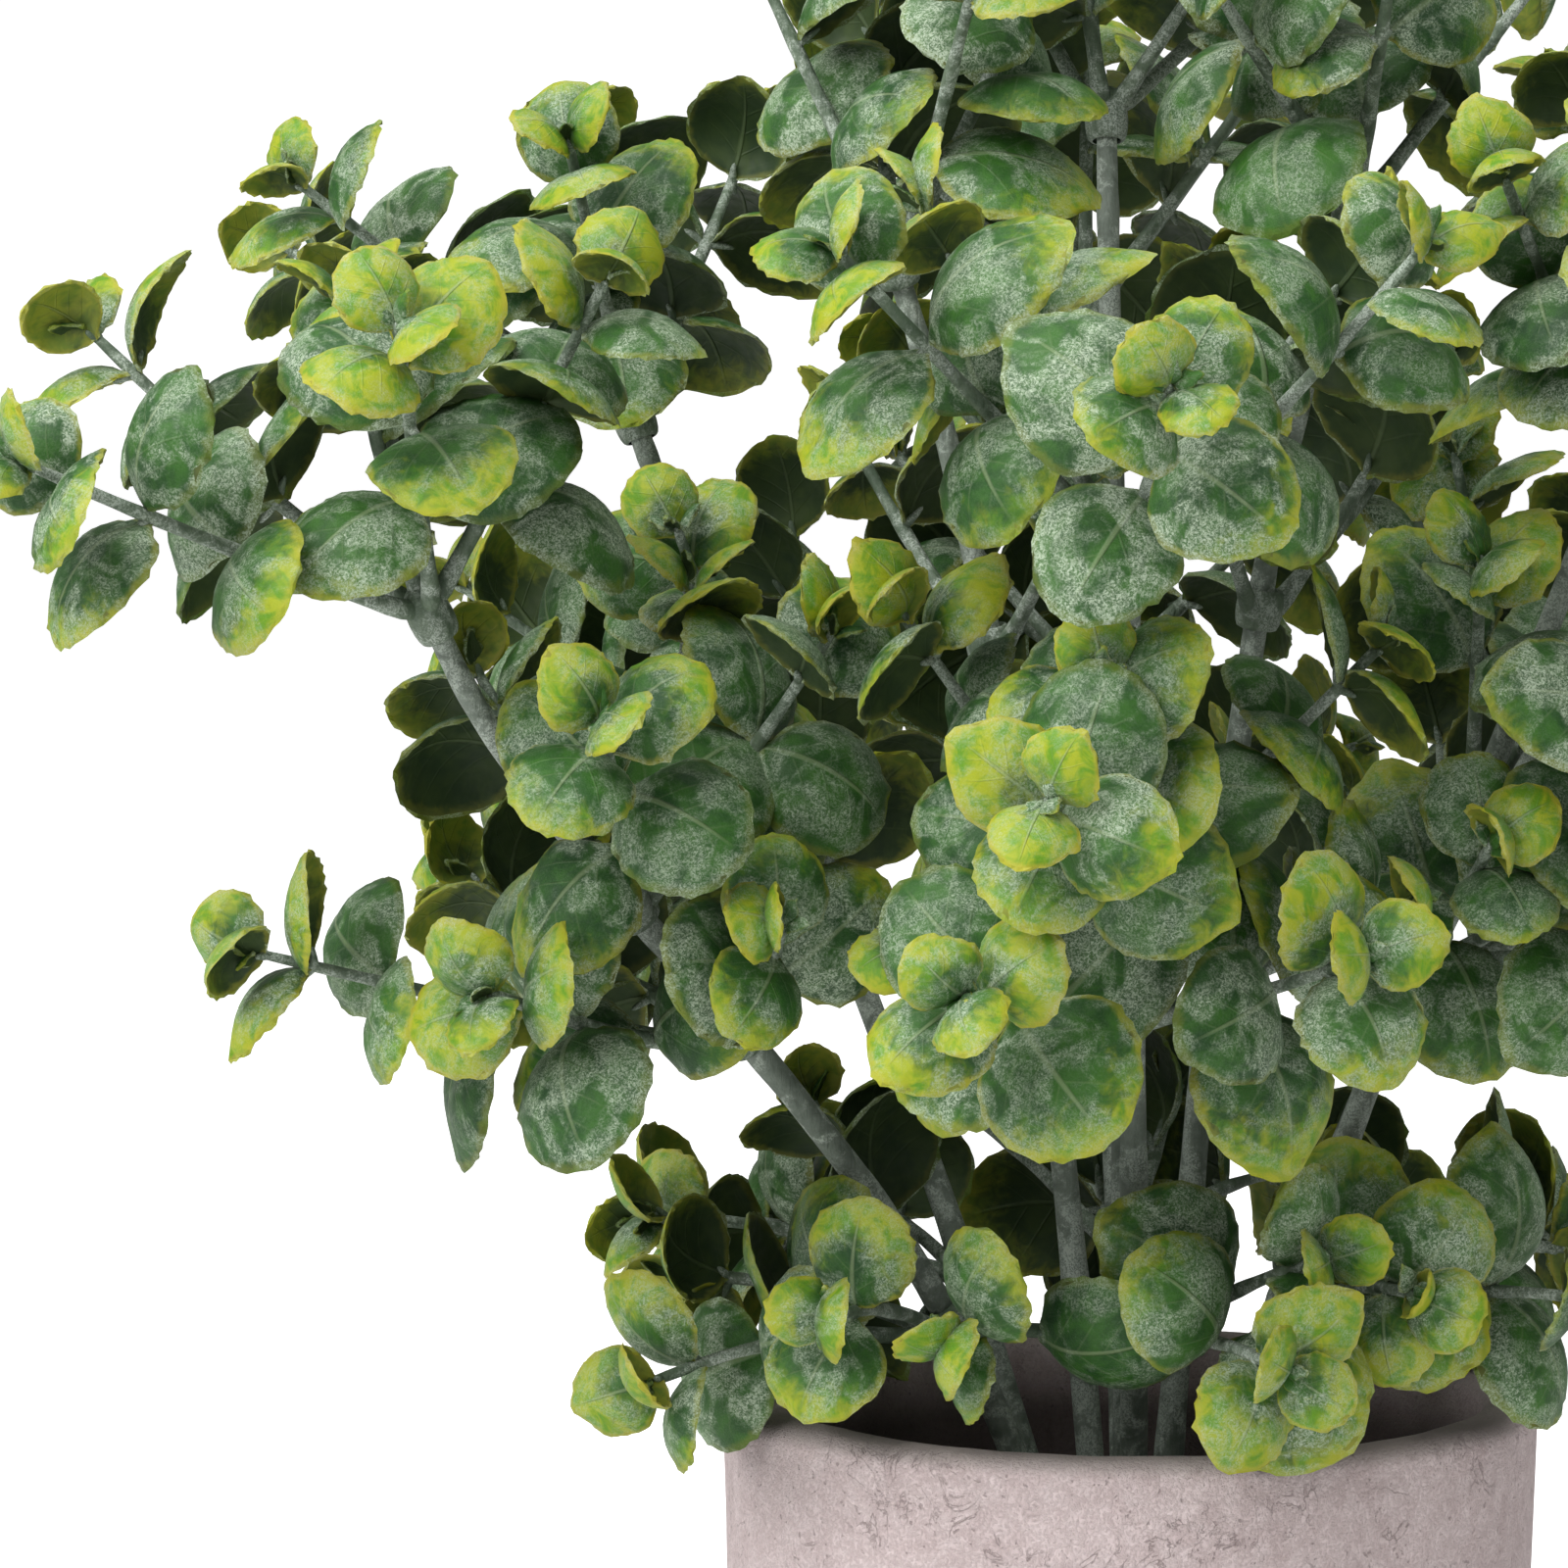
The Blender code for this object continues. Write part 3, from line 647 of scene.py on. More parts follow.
def shape_leaf_point(x, y, length, width, form):
    """Where a point of a square sheet goes on the leaf, and its shares along, across and out to the rim."""
    px = x * math.sqrt(1 - y * y / 2)
    py = y * math.sqrt(1 - x * x / 2)
    reach = math.hypot(px, py)
    angle = math.atan2(py, px)
    edge = 1 + leaf_rim(angle, form["phase"]) * reach**3
    along = 0.5 + 0.5 * px * edge
    point = math.exp(-((angle / 0.3) ** 2)) * reach**5 * form["point"]
    pinch = min(max((along - 0.005) / 0.16, 0.12), 1.0) ** 0.7
    taper = 1 - form["taper"] * along
    across = 0.5 * py * edge * pinch * taper * (1 + form["taper"] * 0.5)
    curl = form["dome"] * (1 - reach**2.6)
    groove = form["groove"] * math.exp(-((py / 0.16) ** 2)) * (1 - reach**4)
    wave = form["wave"] * math.sin(2 * angle + form["phase"]) * reach**3
    droop = form["droop"] * max(along - 0.25, 0.0) ** 2
    height = (curl - groove + wave) * width - droop * length
    return Vector(((along + point) * length, across * width, height)), Vector((along, py, reach))


def leaf_form(kind, rng):
    bract = kind == "bract"
    return {
        "phase": rng.uniform(0, 50),
        "point": 0.12 if bract else rng.choice((0.0, 0.02, 0.05, 0.10)),
        "taper": 0.6 if bract else rng.uniform(-0.08, 0.22),
        "dome": rng.uniform(0.17, 0.31),
        "groove": rng.uniform(0.01, 0.05),
        "wave": rng.uniform(0.0, 0.06),
        "droop": rng.uniform(0.0, 0.2),
    }


def add_leaf(bm, layers, matrix, length, width, kind, look, rng):
    """A moulded leaf: a cupped sheet with a skin's thickness."""
    form = leaf_form(kind, rng)
    cells = {"bract": BRACT_CELLS, "small": SMALL_CELLS}.get(kind, LEAF_CELLS)
    sheet = bmesh.ops.create_grid(bm, x_segments=cells, y_segments=cells, size=1.0)["verts"]
    for vert in sheet:
        place, spot = shape_leaf_point(vert.co.x, vert.co.y, length, width, form)
        vert.co = matrix @ place
        vert[layers["place"]] = spot
        vert[layers["look"]] = look
        vert[layers["weight"]][0] = max(spot.z - RAGGED_FROM, 0.0) / (1 - RAGGED_FROM)
    upper = unique(f for v in sheet for f in v.link_faces)
    for item in upper + sheet:
        item.normal_update()
    skin = bmesh.ops.solidify(bm, geom=upper, thickness=LEAF_SKIN)["geom"]
    finish_faces([item for item in skin if isinstance(item, bmesh.types.BMFace)], LEAF_UNDER)
    finish_faces(upper, LEAF_UPPER)


def add_petiole(bm, matrix, length):
    """The short stalk of a leaf, from inside the shoot to under the leaf's base."""
    spots = [matrix @ Vector((x, 0, 0.0001)) for x in (-0.0003, 0.07 * length, 0.2 * length)]
    add_rod(bm, spots, [PETIOLE_R * 1.3, PETIOLE_R, PETIOLE_R * 0.5], PETIOLE_SIDES, TWIG)


def leaf_look(kind, tint, rng):
    """Lime share, frosting and tone of one leaf."""
    least, most = LIME_BY_KIND[kind]
    lime = least + (most - least) * tint**1.3
    return Vector((lime, rng.uniform(0.3, 1.0), rng.random()))


def add_tip_bracts(bm, layers, points, rng):
    """The tiny pointed bracts that close a shoot's tip."""
    base, along = at_distance(points, 0.0012)
    across = along.orthogonal().normalized()
    turn = rng.uniform(0, 180)
    for azimuth, lean in TIP_BRACTS:
        side = Matrix.Rotation(math.radians(turn + azimuth), 3, along) @ across
        matrix = leaf_matrix(base, along, side, lean + rng.uniform(-8, 8), 0, 0)
        length = BRACT_LENGTH * rng.uniform(0.75, 1.15)
        look = leaf_look("bract", rng.random(), rng)
        add_leaf(bm, layers, matrix, length, length * BRACT_WIDTH, "bract", look, rng)


def add_twig(bm, shoot, spray):
    """A shoot's stalk. It grows out of the sleeve, and swells at its root and at each pair of leaves."""
    inside_sleeve = spray["centre"] - spray["axis"] * ROOT_DEPTH
    fine = [inside_sleeve] + smooth_line(shoot["points"], TWIG_SPAN_STEPS)
    last = len(fine) - 1
    nodes = [leaf["matrix"].translation for leaf in shoot["leaves"]] + [shoot["points"][0]]
    root_r = SHOOT_ROOT_R * 1.05
    tip_r = SHOOT_TIP_R * 0.8
    radii = []
    for k, point in enumerate(fine):
        radius = root_r + (tip_r - root_r) * k / last
        near = min((point - n).length for n in nodes)
        radii.append(radius * (1 + NODE_SWELL * math.exp(-((near / NODE_SPREAD) ** 2))))
    add_rod(bm, fine, radii, TWIG_SIDES, TWIG)


def add_collar(bm, spray):
    """The sleeve that grips the stem, with its ends rounded over. At a stem's tip its top is closed."""
    bore = (stem_radius(0) + FIT_GAP * 0.6) * 0.86
    outer = spray["bore"] + SLEEVE_WALL * 0.75
    half = SLEEVE_LENGTH / 2
    if spray["top"]:
        middle = spray["centre"] - spray["axis"] * half
        profile = [(bore, -half), (outer * 0.86, -half), (outer, -half * 0.4), (outer, half * 0.5)]
        profile += [(outer * 0.8, half + 0.0007), (outer * 0.42, half + 0.0016), (0, half + 0.0019)]
    else:
        middle = spray["centre"]
        profile = [(bore, -half), (outer * 0.86, -half), (outer, -half * 0.35), (outer, half * 0.35)]
        profile += [(outer * 0.86, half), (bore, half), (bore, -half)]
    faces = turn_profile(bm, profile, COLLAR_STEPS, 1e-5)
    place = Vector((0, 0, 1)).rotation_difference(spray["axis"]).to_matrix().to_4x4()
    place.translation = middle
    bmesh.ops.transform(bm, matrix=place, verts=unique(v for f in faces for v in f.verts))
    finish_faces(faces, TWIG)


# ---- pieces ----
def roughen_edges(piece):
    """Breaks up the leaves' edges, as the flash of a mould does."""
    flash = bpy.data.textures.new("mould_flash", "CLOUDS")
    flash.noise_scale = RAGGED_GRAIN
    flash.noise_depth = 1
    edges = piece.vertex_groups.new(name="leaf_edges")
    ragged = piece.modifiers.new("ragged_edges", "DISPLACE")
    ragged.texture = flash
    ragged.vertex_group = edges.name
    ragged.strength = RAGGED_EDGE


def link(name, mesh, materials, body, node, subdivide=1):
    """Puts a finished mesh in the scene in place of its solid."""
    piece = bpy.data.objects.new(name, mesh)
    bpy.context.scene.collection.objects.link(piece)
    for finish in materials:
        mesh.materials.append(finish)
    if subdivide:
        rounding = piece.modifiers.new("rounding", "SUBSURF")
        rounding.levels = subdivide
        rounding.render_levels = subdivide
    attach(piece, body)
    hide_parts(node)
    return piece


def build_spray(spray, number, finishes):
    stem_name = spray["stem"]["name"]
    node = f"spray_{stem_name}_{number}"
    rng = random.Random(node)
    bm = bmesh.new()
    layers = {
        "place": bm.verts.layers.float_vector.new("leaf_place"),
        "look": bm.verts.layers.float_vector.new("leaf_look"),
        "weight": bm.verts.layers.deform.new(),
    }
    add_collar(bm, spray)
    for shoot in spray["shoots"]:
        add_twig(bm, shoot, spray)
        for leaf in shoot["leaves"]:
            add_petiole(bm, leaf["matrix"], leaf["length"])
            look = leaf_look(leaf["kind"], leaf["tint"], rng)
            add_leaf(bm, layers, leaf["matrix"], leaf["length"], leaf["width"], leaf["kind"], look, rng)
        add_tip_bracts(bm, layers, shoot["points"], rng)
    materials = [finishes["leaf_upper"], finishes["leaf_under"], finishes["twig"]]
    mesh = mesh_from(node, bm)
    piece = link(f"{node}_fine", mesh, materials, f"{stem_name}_shoot", node)
    roughen_edges(piece)


def build_stem(stem, finishes):
    """A moulded stem with a swollen ring at each old leaf node."""
    node = f"stem_{stem['name']}"
    rng = random.Random(node)
    fine = smooth_line(stem["path"], STEM_SPAN_STEPS)
    last = len(fine) - 1
    phase = rng.uniform(0, 6)
    radii = []
    for k in range(last + 1):
        radius = STEM_FOOT_R + (STEM_TIP_R - STEM_FOOT_R) * k / last
        swell = max(math.sin(k * 0.9 + phase), 0.0) ** 8
        radii.append(radius * (0.93 + 0.13 * swell))
    bm = bmesh.new()
    add_rod(bm, fine, radii, STEM_RING_SIDES, 0)
    for vert in bm.verts:
        rib = noise.noise(vert.co * STEM_GRAIN) * STEM_RIB
        vert.co += vert.normal * rib
    mesh = mesh_from(node, bm)
    link(f"{node}_fine", mesh, [finishes["stem"]], f"{stem['name']}_shoot", node)


def pot_outline():
    """The pot's cut face from the middle of its underside, up the outside, over the rim and down inside."""
    inner_rim = POT_RIM_RADIUS - POT_WALL
    inner_foot = POT_FOOT_RADIUS - POT_WALL
    inner_round = RIM_ROUND * 0.8
    outline = [(0, 0), (POT_FOOT_RADIUS * 0.5, 0), (POT_FOOT_RADIUS - FOOT_CHAMFER, 0)]
    outline += arc((POT_FOOT_RADIUS - FOOT_CHAMFER, FOOT_CHAMFER), FOOT_CHAMFER, -60, 0, 3)
    for k in range(1, POT_BANDS):
        share = k / POT_BANDS
        outline.append((POT_FOOT_RADIUS + (POT_RIM_RADIUS - POT_FOOT_RADIUS) * share, POT_HEIGHT * share))
    outline += arc((POT_RIM_RADIUS - RIM_ROUND, POT_HEIGHT - RIM_ROUND), RIM_ROUND, 0, 90, 5)
    outline += arc((inner_rim + inner_round, POT_HEIGHT - inner_round), inner_round, 90, 180, 5)
    outline += [(inner_rim - 0.0006, POT_HEIGHT * 0.8), (inner_foot, POT_FLOOR + 0.002)]
    return outline + [(inner_foot - 0.001, POT_FLOOR), (inner_foot * 0.5, POT_FLOOR), (0, POT_FLOOR)]


def build_pot(finishes):
    """The cast pot, a little uneven on its outside and its rim."""
    bm = bmesh.new()
    faces = turn_profile(bm, pot_outline(), POT_STEPS, 1e-6)
    for vert in bm.verts:
        if vert.co.z > 0.004 and math.hypot(vert.co.x, vert.co.y) > POT_RIM_RADIUS * 0.7:
            bump = noise.fractal(vert.co * POT_GRAIN, 0.6, 2.0, 4) * POT_UNEVEN
            vert.co += vert.normal * bump
    finish_faces(faces, 0)
    mesh = mesh_from("pot_cast", bm)
    link("pot_cast", mesh, [finishes["cement"]], "pot_body", "pot", subdivide=0)


# ---- materials ----
def feed(tree, socket, value):
    """Links an output into a socket, or sets the socket to a value."""
    if isinstance(value, bpy.types.NodeSocket):
        tree.links.new(value, socket)
    else:
        socket.default_value = value


def add(tree, kind, inputs=None, **settings):
    """One shader node, with its settings, and its inputs set or linked."""
    made = tree.nodes.new(kind)
    for name, value in settings.items():
        setattr(made, name, value)
    for name, value in (inputs or {}).items():
        feed(tree, made.inputs[name], value)
    return made


def maths(tree, operation, first, second=0.0, clamp=False):
    made = add(tree, "ShaderNodeMath", {0: first, 1: second}, operation=operation, use_clamp=clamp)
    return made.outputs[0]


def times(tree, first, second):
    return maths(tree, "MULTIPLY", first, second)


def plus(tree, first, second):
    return maths(tree, "ADD", first, second)


def span(tree, value, low, high, new_low=0.0, new_high=1.0):
    """A smooth step of a value from one range to another."""
    inputs = {"Value": value, "From Min": low, "From Max": high, "To Min": new_low, "To Max": new_high}
    return add(tree, "ShaderNodeMapRange", inputs, interpolation_type="SMOOTHSTEP").outputs["Result"]


def blend(tree, share, first, second):
    """A mix of two colours. A Mix node's colour sockets are its inputs 6 and 7 and its output 2."""
    made = add(tree, "ShaderNodeMix", data_type="RGBA")
    for place, value in ((0, share), (6, first), (7, second)):
        feed(tree, made.inputs[place], (*value, 1) if isinstance(value, tuple) else value)
    return made.outputs[2]


def grain(tree, vector, scale, detail=3.0, roughness=0.55, distortion=0.0):
    inputs = {"Vector": vector, "Scale": scale, "Detail": detail}
    inputs.update({"Roughness": roughness, "Distortion": distortion})
    return add(tree, "ShaderNodeTexNoise", inputs).outputs["Fac"]


def split(tree, vector):
    """A vector's X, Y and Z."""
    return add(tree, "ShaderNodeSeparateXYZ", {0: vector}).outputs


def new_group(name, inputs, outputs):
    """A node group with named sockets. Gives it with its input and output nodes."""
    group = bpy.data.node_groups.new(name, "ShaderNodeTree")
    for label, kind, default in inputs:
        socket = group.interface.new_socket(label, in_out="INPUT", socket_type=kind)
        if default is not None:
            socket.default_value = default
    for label, kind in outputs:
        group.interface.new_socket(label, in_out="OUTPUT", socket_type=kind)
    return group, group.nodes.new("NodeGroupInput").outputs, group.nodes.new("NodeGroupOutput").inputs


def use(tree, group, inputs):
    """Places a node group in a material."""
    made = add(tree, "ShaderNodeGroup", node_tree=group)
    for name, value in inputs.items():
        feed(tree, made.inputs[name], value)
    return made.outputs


def make_frosting():
    """Pale dusty paint wiped over plastic: soft patches broken up by wiped flecks and a fine speckle."""
    group, given, out = new_group(
        "frosting",
        [
            ("Vector", "NodeSocketVector", None),
            ("Patch Scale", "NodeSocketFloat", 180.0),
            ("Fleck Scale", "NodeSocketFloat", 1500.0),
            ("Amount", "NodeSocketFloat", 0.6),
        ],
        [("Mask", "NodeSocketFloat"), ("Speckle", "NodeSocketFloat")],
    )
    patch = grain(group, given["Vector"], given["Patch Scale"], 3.0, 0.6, 0.8)
    fleck = grain(group, given["Vector"], given["Fleck Scale"], 3.0, 0.75, 2.2)
    speckle_scale = times(group, given["Fleck Scale"], 2.6)
    speckle = grain(group, given["Vector"], speckle_scale, 2.0, 0.7)
    cover = span(group, patch, 0.40, 0.60, 0.06, 1.0)
    wiped = span(group, fleck, 0.48, 0.57, 0.06, 0.56)
    dusty = span(group, speckle, 0.48, 0.60, 0.06, 0.42)
    broken = plus(group, wiped, dusty)
    dusted = times(group, cover, broken)
    mask = maths(group, "MULTIPLY", dusted, given["Amount"], clamp=True)
    group.links.new(mask, out["Mask"])
    group.links.new(speckle, out["Speckle"])
    return group


def make_veins():
    """A leaf's midrib and side veins, from its place along, across and out to the rim."""
    group, given, out = new_group(
        "leaf_veins", [("Place", "NodeSocketVector", None)], [("Line", "NodeSocketFloat")]
    )
    parts = split(group, given["Place"])
    side = maths(group, "ABSOLUTE", parts["Y"])
    rib_width = maths(group, "SUBTRACT", 0.075, times(group, parts["X"], 0.05))
    rib = span(group, maths(group, "DIVIDE", side, rib_width), 1.0, 0.3)
    slope = maths(group, "SUBTRACT", times(group, parts["X"], 5.2), times(group, side, 2.1))
    nearest = maths(group, "PINGPONG", slope, 0.5)
    branch = span(group, nearest, 0.075, 0.01)
    fade = span(group, parts["Z"], 0.92, 0.5)
    branch = times(group, times(group, branch, fade), 0.28)
    line = maths(group, "MAXIMUM", times(group, rib, span(group, parts["X"], 0.98, 0.7)), branch)
    group.links.new(line, out["Line"])
    return group


def make_mottling():
    """Uneven tone in cast or foamed stuff: broad clouds, small blotches and dark pits."""
    group, given, out = new_group(
        "mottling",
        [("Vector", "NodeSocketVector", None), ("Cloud Scale", "NodeSocketFloat", 40.0)],
        [("Cloud", "NodeSocketFloat"), ("Blotch", "NodeSocketFloat"), ("Pit", "NodeSocketFloat")],
    )
    cloud = grain(group, given["Vector"], given["Cloud Scale"], 4.0, 0.6, 0.6)
    blotch_scale = times(group, given["Cloud Scale"], 9.0)
    blotch = grain(group, given["Vector"], blotch_scale, 4.0, 0.65, 0.4)
    pit_scale = times(group, given["Cloud Scale"], 30.0)
    pit = grain(group, given["Vector"], pit_scale, 2.0, 0.5)
    group.links.new(span(group, cloud, 0.3, 0.7), out["Cloud"])
    group.links.new(span(group, blotch, 0.32, 0.68), out["Blotch"])
    group.links.new(span(group, pit, 0.66, 0.76), out["Pit"])
    return group


def new_finish(name, roughness, metallic=0.0):
    """A material with its shader. Gives the material, its tree, its shader and its object coordinates."""
    finish = bpy.data.materials.new(name)
    finish.use_nodes = True
    tree = finish.node_tree
    shader = tree.nodes["Principled BSDF"]
    shader.inputs["Roughness"].default_value = roughness
    shader.inputs["Metallic"].default_value = metallic
    spot = tree.nodes.new("ShaderNodeTexCoord").outputs["Object"]
    return finish, tree, shader, spot


def raise_surface(tree, shader, height, distance, strength=1.0):
    bump = add(tree, "ShaderNodeBump", {"Height": height, "Distance": distance, "Strength": strength})
    tree.links.new(bump.outputs["Normal"], shader.inputs["Normal"])


def leaf_values(tree):
    """A leaf's own values: place along, across and out to the rim, then lime share, frosting and tone."""
    place = add(tree, "ShaderNodeAttribute", attribute_name="leaf_place").outputs["Vector"]
    look = add(tree, "ShaderNodeAttribute", attribute_name="leaf_look").outputs["Vector"]
    return place, split(tree, place), split(tree, look)


def leaf_green(tree, spot, parts, look, tints):
    """Green that turns lime towards the tip and yellow at the rim. Also gives the lime's share."""
    cloud = span(tree, grain(tree, spot, 260.0, 3.0, 0.6, 0.5), 0.32, 0.68)
    tone = plus(tree, times(tree, cloud, 0.65), times(tree, look["Z"], 0.35))
    green = blend(tree, tone, tints["dark"], tints["middle"])
    patch = span(tree, grain(tree, spot, 330.0, 3.0, 0.65, 0.8), 0.36, 0.62)
    lime = blend(tree, patch, tints["lime"], tints["yellow"])
    ragged = maths(tree, "SUBTRACT", grain(tree, spot, 420.0, 3.0, 0.6, 1.0), 0.5)
    along = times(tree, parts["X"], 0.62)
    outward = plus(tree, along, times(tree, parts["Z"], 0.4))
    front = plus(tree, outward, times(tree, ragged, 0.6))
    front = plus(tree, front, times(tree, look["X"], 0.95))
    limed = times(tree, span(tree, front, 0.98, 1.36), span(tree, look["X"], 0.02, 0.35))
    coloured = blend(tree, limed, green, lime)
    near_rim = plus(tree, parts["Z"], times(tree, ragged, 0.22))
    rim = span(tree, near_rim, 0.89, 1.0)
    rim_share = plus(tree, times(tree, look["X"], 0.80), 0.15)
    return blend(tree, times(tree, rim, rim_share), coloured, tints["rim"]), limed


def make_leaf_upper(frosting, veins):
    finish, tree, shader, spot = new_finish("leaf_upper", 0.62)
    shader.inputs["Specular IOR Level"].default_value = 0.25
    place, parts, look = leaf_values(tree)
    green, limed = leaf_green(tree, spot, parts, look, UPPER_TINTS)
    line = use(tree, veins, {"Place": place})["Line"]
    veined = blend(tree, times(tree, line, 0.42), green, UPPER_TINTS["vein"])
    thin = maths(tree, "SUBTRACT", 1.0, times(tree, limed, 0.48))
    dusting = plus(tree, times(tree, look["Y"], 0.80), 0.36)
    at_base = span(tree, parts["X"], 0.42, 0.04, 0.0, 0.5)
    amount = plus(tree, times(tree, dusting, thin), at_base)
    frost = use(
        tree, frosting, {"Vector": spot, "Patch Scale": 190.0, "Fleck Scale": 1500.0, "Amount": amount}
    )
    whitened = blend(tree, frost["Mask"], veined, FROST)
    tree.links.new(whitened, shader.inputs["Base Color"])
    tree.links.new(span(tree, frost["Mask"], 0.0, 0.6, 0.48, 0.80), shader.inputs["Roughness"])
    height = plus(tree, times(tree, line, 0.6), times(tree, frost["Speckle"], 0.3))
    raise_surface(tree, shader, height, 0.0003, 0.8)
    return finish


def make_leaf_under(veins):
    finish, tree, shader, spot = new_finish("leaf_under", 0.6)
    shader.inputs["Specular IOR Level"].default_value = 0.35
    place, parts, look = leaf_values(tree)
    green, _ = leaf_green(tree, spot, parts, look, UNDER_TINTS)
    line = use(tree, veins, {"Place": place})["Line"]
    veined = blend(tree, times(tree, line, 0.25), green, UNDER_TINTS["vein"])
    tree.links.new(veined, shader.inputs["Base Color"])
    rough = span(tree, grain(tree, spot, 900.0), 0.3, 0.7, 0.5, 0.7)
    tree.links.new(rough, shader.inputs["Roughness"])
    raise_surface(tree, shader, line, 0.0002)
    return finish


def make_frosted_stem(name, frosting, dark, middle, amount, streak):
    """Moulded stalk plastic: green-grey, frosted, with lengthwise marks from the mould."""
    finish, tree, shader, spot = new_finish(name, 0.7)
    tone = span(tree, grain(tree, spot, 300.0, 3.0, 0.6, 0.5), 0.3, 0.7)
    green = blend(tree, tone, dark, middle)
    frost = use(
        tree, frosting, {"Vector": spot, "Patch Scale": 240.0, "Fleck Scale": 1500.0, "Amount": amount}
    )
    whitened = blend(tree, frost["Mask"], green, STEM_FROST)
    tree.links.new(whitened, shader.inputs["Base Color"])
    tree.links.new(span(tree, frost["Mask"], 0.0, 0.6, 0.55, 0.85), shader.inputs["Roughness"])
    stretch = add(tree, "ShaderNodeMapping", {"Vector": spot, "Scale": (1.0, 1.0, streak)})
    marks = grain(tree, stretch.outputs["Vector"], 1400.0, 2.0, 0.6)
    raise_surface(tree, shader, marks, 0.0003)
    return finish


def cement_cracks(tree, spot):
    """Short hairline cracks, in some places only."""
    wander = grain(tree, spot, 150.0, 5.0, 0.62, 1.0)
    off_middle = maths(tree, "ABSOLUTE", maths(tree, "SUBTRACT", wander, 0.5))
    hair = span(tree, off_middle, 0.012, 0.002)
    some = span(tree, grain(tree, spot, 85.0, 2.0), 0.50, 0.60)
    return times(tree, hair, some)


def inside_shade(tree, spot):
    """Painted shade deep in the pot, fading to nothing at the lip."""
    parts = split(tree, spot)
    flat = add(tree, "ShaderNodeCombineXYZ", {"X": parts["X"], "Y": parts["Y"]}).outputs[0]
    reach = add(tree, "ShaderNodeVectorMath", {0: flat}, operation="LENGTH").outputs["Value"]
    wall = POT_RIM_RADIUS - POT_WALL
    inside = span(tree, reach, wall + 0.0012, wall)
    depth = span(tree, parts["Z"], POT_HEIGHT - 0.0005, POT_HEIGHT - 0.010)
    return times(tree, inside, depth), parts["Z"]


def make_cement(mottling):
    """Pinkish grey cement: soft clouds, pale blotches, pits, hairline cracks and painted shade deep in the
    pot.
    """
    finish, tree, shader, spot = new_finish("cement", 0.88)
    tone = use(tree, mottling, {"Vector": spot, "Cloud Scale": 42.0})
    base = blend(tree, tone["Cloud"], CEMENT_TINTS["dark"], CEMENT_TINTS["light"])
    base = blend(tree, times(tree, tone["Blotch"], 0.6), base, CEMENT_TINTS["blotch"])
    fine = span(tree, grain(tree, spot, 2300.0, 3.0, 0.7), 0.38, 0.68)
    base = blend(tree, times(tree, fine, 0.30), base, CEMENT_TINTS["grit"])
    crack = cement_cracks(tree, spot)
    base = blend(tree, times(tree, crack, 0.42), base, CEMENT_TINTS["crack"])
    base = blend(tree, times(tree, tone["Pit"], 0.5), base, CEMENT_TINTS["pit"])
    # Painted shade: the cement darkens with depth below the lip, where shade falls in the pot.
    shade, height = inside_shade(tree, spot)
    rim = span(tree, height, POT_HEIGHT - 0.0020, POT_HEIGHT - 0.0004)
    base = blend(tree, times(tree, rim, 0.6), base, CEMENT_TINTS["rim"])
    base = blend(tree, times(tree, shade, 0.9), base, CEMENT_TINTS["inside"])
    tree.links.new(base, shader.inputs["Base Color"])
    tree.links.new(span(tree, tone["Blotch"], 0.0, 1.0, 0.82, 0.95), shader.inputs["Roughness"])
    holes = plus(tree, crack, tone["Pit"])
    rise = maths(tree, "SUBTRACT", times(tree, fine, 0.5), holes)
    raise_surface(tree, shader, rise, 0.00035, 0.8)
    return finish


def make_plain(name, mottling, dark, light, roughness, scale, metallic):
    """A finish with a soft change of tone and a fine grain."""
    finish, tree, shader, spot = new_finish(name, roughness, metallic)
    tone = use(tree, mottling, {"Vector": spot, "Cloud Scale": scale})
    shaded = blend(tree, tone["Blotch"], dark, light)
    tree.links.new(shaded, shader.inputs["Base Color"])
    roughest = min(roughness + 0.08, 1.0)
    uneven = span(tree, tone["Cloud"], 0.0, 1.0, roughness - 0.08, roughest)
    tree.links.new(uneven, shader.inputs["Roughness"])
    raise_surface(tree, shader, tone["Blotch"], 0.0003)
    return finish


# The two tones of each plain finish, its roughness, the scale of its clouds and its metallic value.
PLAIN_FINISHES = {
    "plug_foam": ((0.012, 0.009, 0.007), (0.035, 0.027, 0.020), 0.95, 120.0, 0.0),
    "hub_plastic": ((0.020, 0.034, 0.022), (0.045, 0.065, 0.042), 0.7, 90.0, 0.0),
    "wire_steel": ((0.30, 0.30, 0.31), (0.50, 0.50, 0.50), 0.38, 200.0, 1.0),
}
# The two greens under the frosting of each stalk, the amount of frosting and how long its marks are.
FROSTED_FINISHES = {
    "twig": ((0.070, 0.110, 0.065), (0.120, 0.170, 0.105), 1.4, 0.2),
    "stem": ((0.115, 0.145, 0.112), (0.200, 0.240, 0.195), 1.8, 0.06),
}


def make_finishes():
    frosting = make_frosting()
    veins = make_veins()
    mottling = make_mottling()
    finishes = {
        "leaf_upper": make_leaf_upper(frosting, veins),
        "leaf_under": make_leaf_under(veins),
        "cement": make_cement(mottling),
    }
    for name, look in FROSTED_FINISHES.items():
        finishes[name] = make_frosted_stem(name, frosting, *look)
    for name, look in PLAIN_FINISHES.items():
        finishes[name] = make_plain(name, mottling, *look)
    return finishes


def finish_solids(stems, finishes):
    """Gives the solids that stay in view their own finish."""
    kept = {"foam_plug": "plug_foam", "bush_hub": "hub_plastic"}
    kept.update({f"wire_{stem['name']}": "wire_steel" for stem in stems})
    for node, finish in kept.items():
        for slot in bpy.data.objects[node].material_slots:
            slot.material = finishes[finish]


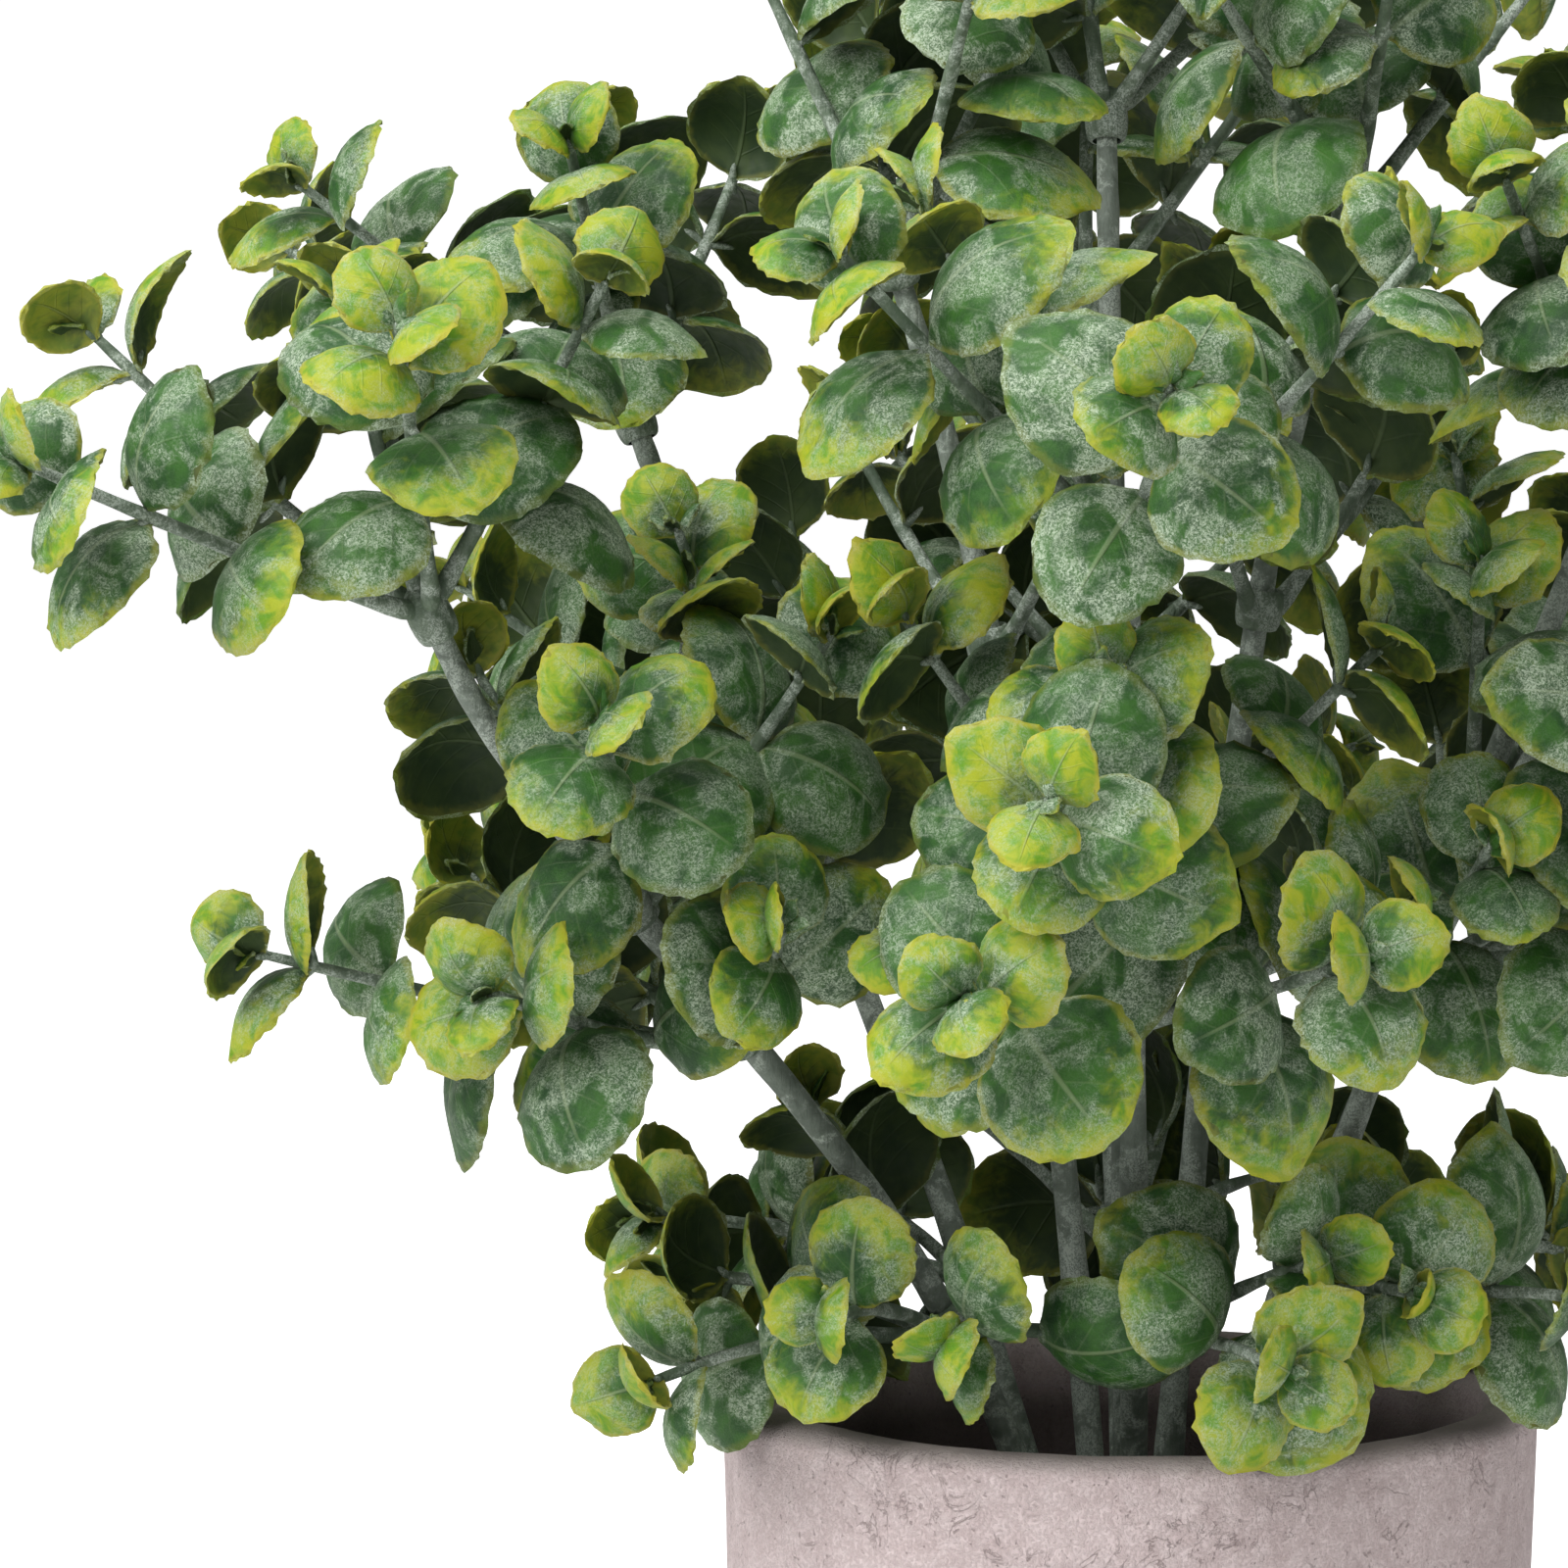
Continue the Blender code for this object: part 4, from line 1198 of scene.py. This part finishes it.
# ---- camera and light ----
VIEW_CENTRE = Vector((-0.0403, 0.0, 0.1592))
VIEW_RISE = 5.2
VIEW_DISTANCE = 0.9
VIEW_WIDTH = 0.1818
SENSOR_WIDTH = 36
WORLD_LIGHT = 0.34
FLOOR_GLOW = 0.72
LIGHT_CENTRE = Vector((0, 0, 0.16))
# Azimuth, rise, distance, size and power of each softbox.
SOFTBOXES = {
    "key": (-139, 44, 1.25, 1.4, 24.0),
    "side": (-35, 30, 1.3, 1.2, 2.2),
    "top": (40, 78, 1.3, 1.2, 4.0),
}


def place_camera():
    lens = bpy.data.cameras.new("view")
    camera = bpy.data.objects.new("view", lens)
    bpy.context.scene.collection.objects.link(camera)
    back = polar(-90, VIEW_RISE)
    camera.location = VIEW_CENTRE + back * VIEW_DISTANCE
    camera.rotation_euler = back.to_track_quat("Z", "Y").to_euler()
    lens.sensor_width = SENSOR_WIDTH
    lens.lens = SENSOR_WIDTH * VIEW_DISTANCE / VIEW_WIDTH
    lens.clip_start = 0.01
    bpy.context.scene.camera = camera


def add_softbox(name, azimuth, rise, distance, size, power):
    light = bpy.data.lights.new(name, "AREA")
    light.size = size
    light.energy = power
    lamp = bpy.data.objects.new(name, light)
    bpy.context.scene.collection.objects.link(lamp)
    out = polar(azimuth, rise)
    lamp.location = LIGHT_CENTRE + out * distance
    lamp.rotation_euler = out.to_track_quat("Z", "Y").to_euler()


def light_studio():
    world = bpy.data.worlds.new("studio")
    bpy.context.scene.world = world
    world.use_nodes = True
    tree = world.node_tree
    sky = tree.nodes["Background"]
    sky.inputs["Color"].default_value = (1.0, 1.0, 1.0, 1.0)
    seen = add(tree, "ShaderNodeLightPath").outputs["Is Camera Ray"]
    tree.links.new(span(tree, seen, 0.0, 1.0, WORLD_LIGHT, 1.1), sky.inputs["Strength"])
    for name, values in SOFTBOXES.items():
        add_softbox(name, *values)
    bpy.context.scene.view_settings.view_transform = "Standard"


def lay_floor():
    bm = bmesh.new()
    bmesh.ops.create_grid(bm, x_segments=1, y_segments=1, size=4.0)
    mesh = bpy.data.meshes.new("floor")
    bm.to_mesh(mesh)
    bm.free()
    floor = bpy.data.objects.new("floor", mesh)
    bpy.context.scene.collection.objects.link(floor)
    finish, tree, shader, _ = new_finish("floor_white", 0.9)
    shader.inputs["Base Color"].default_value = (0.80, 0.80, 0.80, 1)
    shader.inputs["Specular IOR Level"].default_value = 0.0
    shader.inputs["Emission Color"].default_value = (1.0, 1.0, 1.0, 1)
    seen = add(tree, "ShaderNodeLightPath").outputs["Is Camera Ray"]
    tree.links.new(times(tree, seen, FLOOR_GLOW), shader.inputs["Emission Strength"])
    mesh.materials.append(finish)


def main():
    place_camera()
    light_studio()
    lay_floor()
    finishes = make_finishes()
    stems = plan_stems()
    build_pot(finishes)
    for stem in stems:
        build_stem(stem, finishes)
    numbers = {}
    for spray in plan_sprays(stems):
        name = spray["stem"]["name"]
        numbers[name] = numbers.get(name, 0) + 1
        build_spray(spray, numbers[name], finishes)
    finish_solids(stems, finishes)


main()
